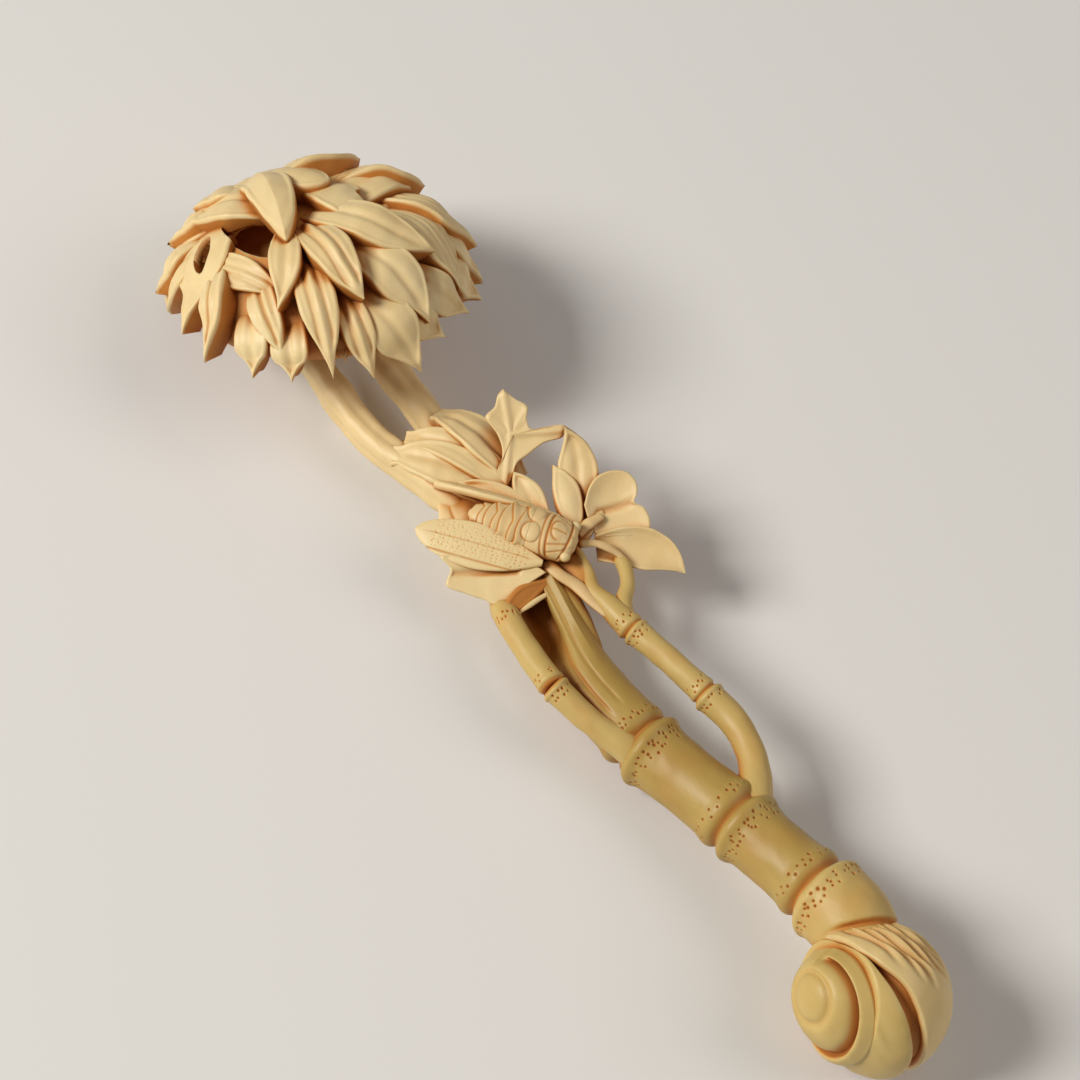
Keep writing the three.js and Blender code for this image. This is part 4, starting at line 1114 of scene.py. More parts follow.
@dataclass
class LeafSpray:
    """Spray of leaves between the stalks and the branches."""

    level: float = 9.6
    half_width: float = 7.5
    squash: float = 0.42

    def core(self) -> Carving:
        """Block that the leaves grow from, cut like stems laid side by side."""
        knots = [(1.0, 0.2, self.level - 0.8), (-5.0, 0.8, self.level + 0.4), (-14.0, 0.4, self.level - 0.2),
                 (-25.0, 0.6, self.level - 1.4)]
        rows, columns = 130, 160
        share = np.linspace(0.0, 1.0, rows)
        run = share[:, None]
        turn = turns(columns)[None]
        girth = self.half_width * (0.72 + 0.38 * np.sin(math.pi * np.minimum(1.0, 1.25 * run)) - 0.14 * run)
        stems = np.abs(np.sin(3.5 * turn + 1.6 * run))
        radius = girth * closing(run, 0.3, 0.35) * (0.93 + 0.09 * stems)
        # Painted shade between the stems and over the rounded rear end
        hollow = np.maximum(0.5 * (1.0 - ease(0.0, 0.4, stems)), 0.75 * ease(0.26, 0.1, run))
        rings = rod(spline(knots, share), radius, columns, UP, self.squash)
        return Carving.of("spray_core", rings, hollow, 0.1)

    def build(self, wood: bpy.types.Material) -> list[bpy.types.Object]:
        """Builds and dresses the spray."""
        pieces = [self.core().piece(wood)]
        groups = {f"spray_leaf_{name}": leaves for name, leaves in SPRAY_LEAVES.items()}
        groups["star_leaf"] = [STAR_LEAF]
        groups["round_leaf"] = [ROUND_LEAF, ROUND_STEM]
        for node, leaves in groups.items():
            carving = Carving(node)
            for leaf in leaves:
                leaf.carve(carving)
            pieces.append(carving.piece(wood))
        return pieces


@dataclass
class Cicada:
    """Cicada that sits across the spray, head towards the branches."""

    head: Place = (-1.3, 7.0, 14.6)
    tail: Place = (-14.4, -2.8, 13.5)
    half_width: float = 3.5
    squash: float = 0.72
    neck: float = 2.2
    waist: float = 7.2
    lap: float = 0.05
    row_step: float = 0.075
    shield_back: float = 2.9
    # Angles of the lines beside the shield
    rays: tuple = (-1.15, -0.74, 0.7, 1.1)
    lobe_back: float = 6.75
    lobe_aside: float = 0.52
    # Distance back, height and skew of each plate of the abdomen
    plates: tuple = ((8.2, 0.42, 0.22), (9.6, 0.4, -0.3), (10.9, 0.36, 0.34), (12.1, 0.32, -0.12),
                     (13.2, 0.28, 0.3), (14.2, 0.22, 0.05))
    eye_radius: float = 0.8
    wing_root: float = 3.8
    wing_length: float = 19.0
    wing_width: float = 6.9
    wing_edge: float = 0.3
    # First row of holes, end of the rows and gap between rows, from the wing's middle outwards
    hole_rows: tuple = (-2.4, 1.9, 0.45)
    hole_start: float = 2.2
    hole_gap: float = 0.72
    seed: int = 21
    leg_squash: float = 0.62

    def at(self, places: Array) -> Array:
        """Places given as distances back from the front, to the near side and up."""
        along = unit(np.array(self.tail) - np.array(self.head))
        across = unit(np.cross(UP, along))
        axes = np.stack([along, across, np.cross(along, across)])
        return np.array(self.head) + np.asarray(places, float) @ axes

    @property
    def length(self) -> float:
        """Length of the body."""
        return float(np.linalg.norm(np.array(self.tail) - np.array(self.head)))

    def girth(self, back: Array) -> Array:
        """Half width of the body at distances from its front, as a share of the widest."""
        face = 0.55 + 0.42 * np.sin(math.pi / 2 * np.clip(back / self.neck, 0.0, 1.0))
        chest = np.clip((back - self.neck) / (self.waist - self.neck), 0.0, 1.0)
        thorax = 0.97 + 0.1 * np.sin(math.pi * chest)
        run = np.clip((back - self.waist) / (self.length - self.waist), 0.0, 1.0)
        return np.where(back < self.neck, face, np.where(back < self.waist, thorax, 0.98 - 0.6 * run ** 2))

    def cuts(self, back: Array, turn: Array) -> tuple[Array, Array]:
        """Carved lines of the body: height to add and painted shade.

        Args:
            back: Distance from the front.
            turn: Angle from the top of the back.

        Returns:
            Height and painted shade for each place.
        """
        upper = ease(1.9, 1.3, np.abs(turn))
        margin = back - 4.5 + 0.35 * turn ** 2
        shield = np.hypot((back - self.shield_back) / 1.25, turn / 0.5)
        fan = 1.0 + 0.14 * (back - self.shield_back)
        rays = sum(bell(turn - place * fan, 0.0, 0.05) for place in self.rays)
        rays = rays * ease(1.3, 1.6, back) * ease(0.0, -0.3, margin)
        rays = rays + bell(turn, 0.06, 0.04) * ease(1.0, 0.8, shield)
        brow = bell(back, 1.2 + 0.3 * turn ** 2, 0.15)
        lines = brow + bell(margin, 0.0, 0.17) + 0.7 * bell(margin, 0.8, 0.13)
        lines = lines + 0.7 * bell(shield, 1.0, 0.11) * ease(2.2, 3.4, back) + 0.6 * rays
        beads = np.abs(np.sin(4.2 * turn)) * bell(back, 0.7, 0.4)
        plates = 0.25 * ease(1.1, 0.5, shield)
        lobes = np.zeros_like(lines)
        for side in (-self.lobe_aside, self.lobe_aside):
            bulge = np.hypot((back - self.lobe_back) / 1.3, (turn - side) / 0.48)
            lobes = lobes + 0.55 * np.sqrt(np.maximum(0.0, 1.0 - bulge ** 2))
            lines = lines + 0.6 * bell(bulge, 1.06, 0.09) * ease(6.2, 7.4, back)
        height = -0.26 * lines + 0.28 * beads + plates + lobes
        depth = 0.5 * lines
        for edge, step, skew in self.plates:
            scallop = 0.42 * np.abs(np.sin(1.8 * turn + 0.4 + 3.0 * skew)) + 0.1 * np.abs(turn)
            from_edge = back - edge - scallop - skew * turn
            cut = bell(from_edge, 0.1, 0.11)
            height = height + step * (ease(-1.2, 0.0, from_edge) * ease(0.16, 0.0, from_edge)) - 0.12 * cut
            depth = depth + 0.42 * cut
        return height * upper, depth * upper

    def body(self, node: str, start: float, end: float) -> Carving:
        """Part of the body between two distances from its front."""
        rows, columns = int((end - start) / self.row_step), 150
        back = np.linspace(start, end, rows)
        path = self.at(np.stack([back, np.zeros(rows), 0.3 * np.sin(math.pi * back / self.length)], -1))
        back = back[:, None]
        from_top = (turns(columns)[None] + math.pi / 2) % (2 * math.pi) - math.pi
        height, depth = self.cuts(back, from_top)
        ends = 1.0 - 0.5 * ease(0.5, 0.0, back) - 0.6 * ease(self.length - 0.8, self.length, back)
        radius = self.half_width * self.girth(back) * ends + height
        rings = rod(path, radius, columns, UP, self.squash)
        # Painted shade in the carved lines, plus an even 0.14 of the shade colour all over
        return Carving.of(node, rings, np.clip(0.14 + depth, 0.0, 1.0), 0.04)

    def eyes(self, carving: Carving) -> None:
        """Adds the two round eyes."""
        for side in (-1.0, 1.0):
            centre = self.at(np.array([[1.0, side * 0.8 * self.half_width, 0.6]]))[0]
            carving.tube(ball(centre, (self.eye_radius,) * 3), 0.0, 0.0)

    def wing(self, node: str, side: float, spread: float, lean: float) -> Carving:
        """One wing: a long blade with veins and rows of tiny holes.

        Args:
            node: Node that it stands for.
            side: 1 for the near wing and -1 for the far one.
            spread: Distance of its root from the middle, as a share of the body's width.
            lean: How far it leans outwards.

        Returns:
            The carving.
        """
        out = side * spread * 2.0 * self.half_width
        rows, columns = 210, 75
        share = np.linspace(0.0, 1.0, rows)
        root, length = self.wing_root, self.wing_length
        centres = self.at(through((root, out, -0.6), (root + 0.5 * length, 1.12 * out, -0.7),
                                  (root + length, 1.04 * out, -1.6), share))
        along = unit(np.gradient(centres, axis=0))
        axes = self.at(np.array([[0, 0, 1], [0, 1, 0], [0, 0, 0]], float))
        normal = unit((axes[0] - axes[2]) + side * lean * (axes[1] - axes[2]))
        across_way = unit(np.cross(along, normal))
        over = np.cross(across_way, along)
        form = Leaf(self.wing_width, Rib.PLAIN, root=0.15, widest=0.55, tip=0.05, point=0.55)
        run = share[:, None]
        half = form.outline(run)
        across = np.linspace(-1.0, 1.0, columns)[None]
        x = across * half
        inner = -side * x
        vein = bell(inner, 2.2, 0.16) + 0.7 * bell(x - 0.35 * np.sin(3.0 * run), 0.0, 0.12)
        vein = vein * ease(0.03, 0.12, run) * ease(0.97, 0.85, run)
        holes = np.zeros_like(x)
        distance = run * length
        draw = np.random.default_rng(self.seed)
        for place in np.arange(*self.hole_rows):
            for start in np.arange(self.hole_start, 0.84 * length, self.hole_gap):
                spot = start + draw.uniform(-0.22, 0.22)
                wide = place + draw.uniform(-0.1, 0.1)
                far = np.hypot((distance - spot) / 0.17, (inner - wide) / 0.1)
                holes = np.maximum(holes, (1.0 - ease(0.5, 1.2, far)) * draw.uniform(0.3, 1.0))
        top = 0.75 - rounded_edge(half - np.abs(x), self.wing_edge) + 0.3 * (1.0 - across ** 2)
        top = top - 0.16 * vein - 0.1 * holes
        floor_x = half * np.linspace(0.92, -0.92, 13)[None]
        offsets = np.hstack([x, floor_x])
        heights = np.hstack([top, np.full(floor_x.shape, -0.35)])
        # Painted shade in the veins and holes and on the underside
        hollow = np.hstack([np.clip(0.4 * vein + 0.4 * holes, 0.0, 1.0), np.full(floor_x.shape, 0.4)])
        return Carving.of(node, swept(centres, across_way, over, offsets, heights), hollow, 0.03)

    def leg(self, node: str, places: list[Place], width: float) -> Carving:
        """One leg: a flattened strap through the places."""
        rows, columns = 90, 40
        share = np.linspace(0.0, 1.0, rows)
        radius = width * (1.0 - 0.25 * share + 0.12 * bell(share, 0.5, 0.12)) * closing(share, 0.1, 0.1)
        rings = rod(spline(places, share), radius, columns, UP, self.leg_squash)
        # An even 0.18 of the shade colour, which browns the legs
        return Carving.of(node, rings, 0.18)

    def build(self, wood: bpy.types.Material) -> list[bpy.types.Object]:
        """Builds and dresses the cicada."""
        face = self.body("cicada_head", 0.0, self.neck + self.lap)
        self.eyes(face)
        carvings = [
            face,
            self.body("cicada_thorax", self.neck, self.waist + self.lap),
            self.body("cicada_abdomen", self.waist, self.length),
            self.wing("cicada_wing_near", 1.0, 0.63, 0.4),
            self.wing("cicada_wing_far", -1.0, 0.52, 1.2),
            self.leg("cicada_leg_front", [(-3.4, 8.8, 13.4), (-3.7, 11.4, 14.2), (-3.9, 13.9, 14.2)], 0.9),
            self.leg("cicada_leg_middle", [
                (-1.9, 8, 13.6), (-0.3, 10.4, 14.0), (3, 12.5, 13.3), (4.6, 12.1, 12.8)], 0.65),
            self.leg("cicada_leg_hind", [
                (-2.6, 1.9, 12.4), (-1.2, 2.3, 12.9), (0.9, 2.8, 13), (3.4, 3.9, 12.9), (6.7, 4.3, 12.9),
                (10.4, 5.2, 12.9)], 1.05),
        ]
        return [carving.piece(wood) for carving in carvings]


@dataclass
class Internode:
    """One length of bamboo between two rings.

    Attributes:
        node: Node that it stands for.
        knots: Places along its axis.
        radius: Radius at the rings.
        waist: Radius half way, as a share.
        columns: Points round it.
        dot_radius: Radius of the drilled dots.
        dot_rows: Distances of the rows of dots from the head end and from the far end.
        dot_gaps: Gaps between the dots of a row at the head end and at the far end.
        rings: How deep the ring's groove is cut at the head end and at the far end.
        round_off: Share of the length over which each end is rounded off.
        swell: Radius added towards the head end and the far end.
        reach: Share of the length over which the head end swells.
        painted_shade: Painted shade in the waist, stronger on one side, which darkens it.
        seed: Start of the random places of the dots.
    """

    node: str
    knots: list[Place]
    radius: float
    waist: float = 0.88
    columns: int = 340
    dot_radius: float = 0.25
    dot_rows: tuple = ((2.7, 3.4, 4.2), (2.1, 2.9))
    dot_gaps: tuple = (1.2, 1.7)
    rings: tuple = (1.0, 1.0)
    round_off: tuple = (0.0, 0.0)
    swell: tuple = (0.0, 0.0)
    reach: float = 0.5
    painted_shade: float = 0.16
    seed: int = 1

    def rows(self, length: float) -> Array:
        """Distances of the rings from the head end, closest near the two ends."""
        farthest = max((distance for rows in self.dot_rows for distance in rows), default=0.0)
        close = min(max(0.95 * self.radius, farthest + 0.7), 0.45 * length)
        fine = np.arange(0.0, close, 0.1)
        middle = np.linspace(close, length - close, max(8, int((length - 2 * close) / 0.35)))
        return np.concatenate([fine, middle, length - fine[::-1]])

    def dots(self, away: Array, turn: Array, length: float) -> Array:
        """Drilled dots: share of their depth at each place.

        Args:
            away: Distance of each ring from the head end.
            turn: Angle of each column.
            length: Length of the internode.

        Returns:
            1 at the bottom of a dot and 0 outside it.
        """
        draw = np.random.default_rng(self.seed)
        drilled = np.zeros(np.broadcast_shapes(away.shape, turn.shape))
        for end, (rows, gap) in enumerate(zip(self.dot_rows, self.dot_gaps)):
            count = max(6, int(2.0 * math.pi * self.radius / gap))
            for row, distance in enumerate(rows):
                for number in range(count):
                    spot = 2.0 * math.pi * (number + 0.5 * row + 0.34 * draw.uniform(-1, 1)) / count
                    place = distance + 0.24 * draw.uniform(-1, 1)
                    place = place if end == 0 else length - place
                    size = self.dot_radius * draw.uniform(0.75, 1.15)
                    if draw.uniform() < 0.12 + 0.22 * (row == 2):
                        continue
                    near = np.abs(away[:, 0] - place) < 2.0 * size
                    around = self.radius * ((turn - spot + math.pi) % (2.0 * math.pi) - math.pi)
                    far = np.hypot(away[near] - place, around) / size
                    drilled[near] = np.maximum(drilled[near], 1.0 - ease(0.5, 1.1, far))
        return drilled

    def skin(self) -> tuple[Array, Array]:
        """Rings of the internode and the painted shade of their points: in the dots, the ring grooves and the
        waist.
        """
        length = length_of(spline(self.knots, np.linspace(0.0, 1.0, 200)))
        away = self.rows(length)
        share = (away / length)[:, None]
        turn = turns(self.columns)[None]
        run = away[:, None]
        size = self.radius
        first, last = self.rings
        waist = 1.0 + (self.waist - 1.0) * np.sin(math.pi * share) ** 0.7
        ridge = first * 0.085 * bell(run, 0.32 * size, 0.17 * size)
        ridge = ridge + last * 0.04 * bell(length - run, 0.38 * size, 0.2 * size)
        groove = first * bell(run, 0.0, 0.13 * size) + last * bell(length - run, 0.0, 0.16 * size)
        drilled = self.dots(run, turn, length)
        radius = size * (waist + ridge - 0.17 * groove) + self.swell[0] * ease(self.reach, 0.0, share)
        radius = radius + self.swell[1] * ease(0.5, 1.0, share)
        radius = radius * closing(share, *self.round_off) - 1.1 * self.dot_radius * drilled
        # Painted shade in the waist, stronger on one side
        patch = bell(share + 0.1 * np.sin(3.0 * turn + self.seed), 0.45, 0.2)
        patch = patch * (0.6 + 0.4 * np.sin(turn + 0.5))
        hollow = np.clip(0.85 * drilled + 0.55 * groove + self.painted_shade * patch, 0.0, 1.0)
        return rod(spline(self.knots, away / length), radius, self.columns), hollow

    def carve(self) -> Carving:
        """Builds the internode."""
        return Carving.of(self.node, *self.skin(), 0.07)


def bowed(start: Place, end: Place, bows: list[Place]) -> list[Place]:
    """Knots of a line that bows out between its ends.

    Args:
        start: First knot.
        end: Last knot.
        bows: Share of the way, and distance to the right and up, of each knot between them.

    Returns:
        All the knots.
    """
    start, end = np.array(start, float), np.array(end, float)
    inner = [start + share * (end - start) + np.array([0.0, aside, up]) for share, aside, up in bows]
    return [tuple(start), *(tuple(knot) for knot in inner), tuple(end)]


@dataclass
class Branches:
    """Two slim bamboo branches beside the split culm, and a twig."""

    radius: float = 2.1
    left_node: Place = (15.0, -8.7, 11.8)
    left_foot: Place = (29.0, -3.4, 9.2)
    right_node: Place = (13.6, 6.7, 12.8)
    knee: Place = (27.5, 9.4, 12.8)
    right_foot: Place = (46.5, 3.4, 11.4)
    twig_radius: float = 1.5
    twig_knots: tuple = ((11.8, 6.7, 12.7), (9.3, 8.2, 12.8), (7.1, 10.6, 12.8), (4.2, 12.2, 12.7),
                         (2.0, 12.6, 12.4))
    # Web between the hind leg and the branch, painted with shade all over
    web: SprayLeaf = SprayLeaf(
        (-2.0, 5.8, 12.0), (2.4, 5.2, 12.1), (7.6, 5.3, 12.5), (0.36, -0.45, 0.8),
        Leaf(4.4, Rib.PLAIN, thick=0.3, depth=0.6, root=0.9, tip=0.4, painted_shade=0.42))

    def internode(self, node: str, knots: list[Place], seed: int, thicker: float = 1.0,
                  **sizes: float | tuple) -> Carving:
        """One internode of a branch.

        Args:
            node: Node that it stands for.
            knots: Places along its axis.
            seed: Start of the random places of its dots.
            thicker: Its radius as a share of the branch's.
            **sizes: Fields of the internode that differ from those of the other ones.

        Returns:
            The carving.
        """
        form = {"waist": 0.9, "columns": 140, "dot_radius": 0.22, "dot_gaps": (1.0, 1.1),
                "dot_rows": ((1.2, 2.0), (1.1, 1.9)), **sizes}
        return Internode(node, knots, self.radius * thicker, seed=seed, **form).carve()

    def left(self) -> list[Carving]:
        """Left branch, from below the spray's leaf to the culm."""
        upper = bowed((-5.5, -1.8, 7.6), self.left_node,
                      [(0.2, -1.7, -0.5), (0.37, -2.65, 1.3), (0.66, -1.65, 0.7)])
        lower = bowed(self.left_node, self.left_foot, [(0.5, -0.9, 0.4)])
        return [
            self.internode("left_branch_upper", upper, 3, rings=(0.0, 1.0), round_off=(0.2, 0.0),
                           dot_rows=((10.1, 10.7), (1.1, 1.9))),
            self.internode("left_branch_lower", lower, 4, swell=(0.0, 0.5), rings=(1.0, 0.0),
                           dot_rows=((1.2, 2.0), ())),
        ]

    def right(self) -> list[Carving]:
        """Right branch, from below the cicada's head over a knee to the culm, with the web."""
        upper = [(-2.0, 7.6, 13.2), (2.2, 6.9, 12.7), (5.0, 5.8, 12.6), (8.6, 6.0, 12.8), self.right_node]
        middle = bowed(self.right_node, self.knee, [(0.5, 0.0, 0.3)])
        lower = bowed(self.knee, self.right_foot, [(0.32, 2.7, 0.3), (0.66, 3.2, 0.3)])
        carvings = [
            self.internode("right_branch_upper", upper, 5, swell=(-1.3, 0.0), reach=0.95, rings=(0.0, 1.0),
                           round_off=(0.1, 0.0), dot_rows=((), (1.1, 1.9))),
            self.internode("right_branch_middle", middle, 6),
            self.internode("right_branch_lower", lower, 7, 1.12, swell=(0.0, 0.7), rings=(1.0, 0.0),
                           dot_rows=((1.2, 2.0), ())),
        ]
        self.web.carve(carvings[0])
        return carvings

    def twig(self) -> Carving:
        """Twig that springs from the right branch."""
        rows, columns = 80, 48
        share = np.linspace(0.0, 1.0, rows)
        slim = 1.05 - 0.35 * share - 0.12 * np.sin(math.pi * share)
        radius = self.twig_radius * slim * closing(share, 0.1, 0.12)
        return Carving.of("right_twig", rod(spline(self.twig_knots, share), radius, columns), 0.0, 0.06)

    def build(self, wood: bpy.types.Material) -> list[bpy.types.Object]:
        """Builds and dresses the branches."""
        return [carving.piece(wood) for carving in [*self.left(), *self.right(), self.twig()]]


@dataclass
class Culm:
    """Jointed culm from the split length below the spray to the collar of the knob."""

    collar_wood: bpy.types.Material
    radius: float = 5.6
    top: Place = (27.7, -1.2, 7.9)
    middle: Place = (45.5, 2.0, 10.2)
    lower: Place = (60.7, 3.5, 13.0)
    collar_end: Place = (71.6, 3.2, 13.4)
    spray_end: Place = (-1.0, 0.4, 9.0)
    scoop: float = 4.4
    opening: float = math.radians(62.0)
    facing: Place = (0.0, -0.7, 0.8)
    strip_knots: tuple = ((1.4, 2.0, 11.6), (4.9, 2.7, 11.4), (10.2, 1.9, 10.5), (15.0, 1.0, 9.8))
    strip_radius: float = 1.2
    knob_reach: float = 10.9

    def split(self) -> Carving:
        """Split culm: round at the ring, then cut down to a hollow beside a flat rib, up to the spray."""
        knots = bowed(self.top, self.spray_end, [(0.5, -1.5, -0.4)])
        rows, columns = 210, 120
        share = np.linspace(0.0, 1.0, rows)
        path = spline(knots, share)
        run = share[:, None]
        outer = 0.9 * self.radius * (1.0 - 0.14 * run) * (1.0 + 0.06 * bell(run, 0.075, 0.04))
        outer = outer - 0.9 * bell(run, 0.0, 0.03)
        round_back = np.linspace(0.0, 1.0, columns)[None] * (2 * math.pi - 2 * self.opening)
        back_turn = math.pi / 2 + self.opening + round_back
        aside = np.linspace(1.0, -1.0, columns + 2)[None, 1:-1]
        wide = math.sin(self.opening) * aside
        cover_turn = np.arccos(wide)
        rim = math.cos(self.opening)
        sunk = ease(0.3, 0.8, run)
        hollowed = ease(0.5, -0.15, aside) * ease(-1.02, -0.55, aside)
        open_high = outer * (rim + 0.06) - self.scoop * hollowed * ease(0.35, 0.75, run)
        grooves = bell(aside, 0.15, 0.08) * ease(0.75, 0.6, run) + 0.7 * bell(aside, 0.62, 0.07)
        grooves = grooves * ease(0.12, 0.24, run)
        high = (1.0 - sunk) * outer * np.sin(cover_turn) + sunk * open_high - 0.3 * grooves
        form = Internode("split_culm", knots, self.radius, seed=14, dot_rows=((2.2, 3.0), ()))
        length = length_of(path)
        drilled = form.dots(run * length, np.hstack([back_turn, cover_turn]), length)
        x = np.hstack([outer * np.cos(back_turn), outer * wide]) * (1.0 - 0.05 * drilled)
        y = np.hstack([outer * np.sin(back_turn), high]) * (1.0 - 0.05 * drilled)
        along = unit(np.gradient(path, axis=0))
        over = np.tile(unit(np.array(self.facing)), (rows, 1))
        across = unit(np.cross(along, over))
        # Painted shade in the scooped hollow and its grooves, in the dots and at the ring
        inside = 0.52 * sunk * hollowed + 0.3 * grooves
        hollow = np.hstack([np.zeros((rows, columns)), inside]) + 0.85 * drilled
        hollow = np.clip(hollow + 0.55 * bell(run, 0.0, 0.03), 0.0, 1.0)
        return Carving.of("split_culm", swept(path, across, over, x, y), hollow)

    def strip(self, carving: Carving) -> None:
        """Adds the pale strip that lies in the hollow of the split culm."""
        rows, columns = 90, 48
        share = np.linspace(0.0, 1.0, rows)
        girth = self.strip_radius * closing(share, 0.1, 0.5)
        carving.tube(rod(spline(self.strip_knots, share), girth, columns, UP, 0.6))

    def collar(self) -> Carving:
        """Last internode, which swells into the knob and is cut in along the sheath's edge."""
        bend = tuple(0.5 * (np.array(self.lower) + np.array(self.collar_end)) + np.array([0.3, 0.4, 0.9]))
        rings, hollow = Internode(
            "culm_collar", [self.lower, bend, self.collar_end], self.radius, seed=13, waist=1.1,
            dot_rows=((2.4, 3.0, 3.7), ()), rings=(1.0, 0.0)).skin()
        from_knob = rings - np.asarray(KNOB_CENTRE)
        far = np.linalg.norm(from_knob, axis=-1) - self.knob_reach
        room = 0.7 - 15.0 * np.linspace(1.0, 0.0, len(rings))[:, None]
        inwards = np.maximum(0.0, far + room)
        rings = rings - unit(from_knob) * inwards[..., None]
        far = far - inwards
        upper = ease(-2.5, 1.0, from_knob[..., 1])
        cut = bell(far, 0.15, 0.4) * upper
        middle = rings.mean(axis=1, keepdims=True)
        rings = rings + unit(middle - rings) * (0.8 * cut)[..., None]
        # Painted shade in the cut along the sheath's edge
        return Carving.of("culm_collar", rings, np.clip(hollow + 0.6 * cut, 0.0, 1.0), 0.07)

    def build(self, wood: bpy.types.Material) -> list[bpy.types.Object]:
        """Builds and dresses the culm."""
        split = self.split()
        self.strip(split)
        carvings = [
            split,
            Internode("culm_upper", [self.top, self.middle], self.radius, seed=11).carve(),
            Internode("culm_lower", [self.middle, self.lower], self.radius, seed=12).carve(),
        ]
        return [*(carving.piece(wood) for carving in carvings), self.collar().piece(self.collar_wood)]


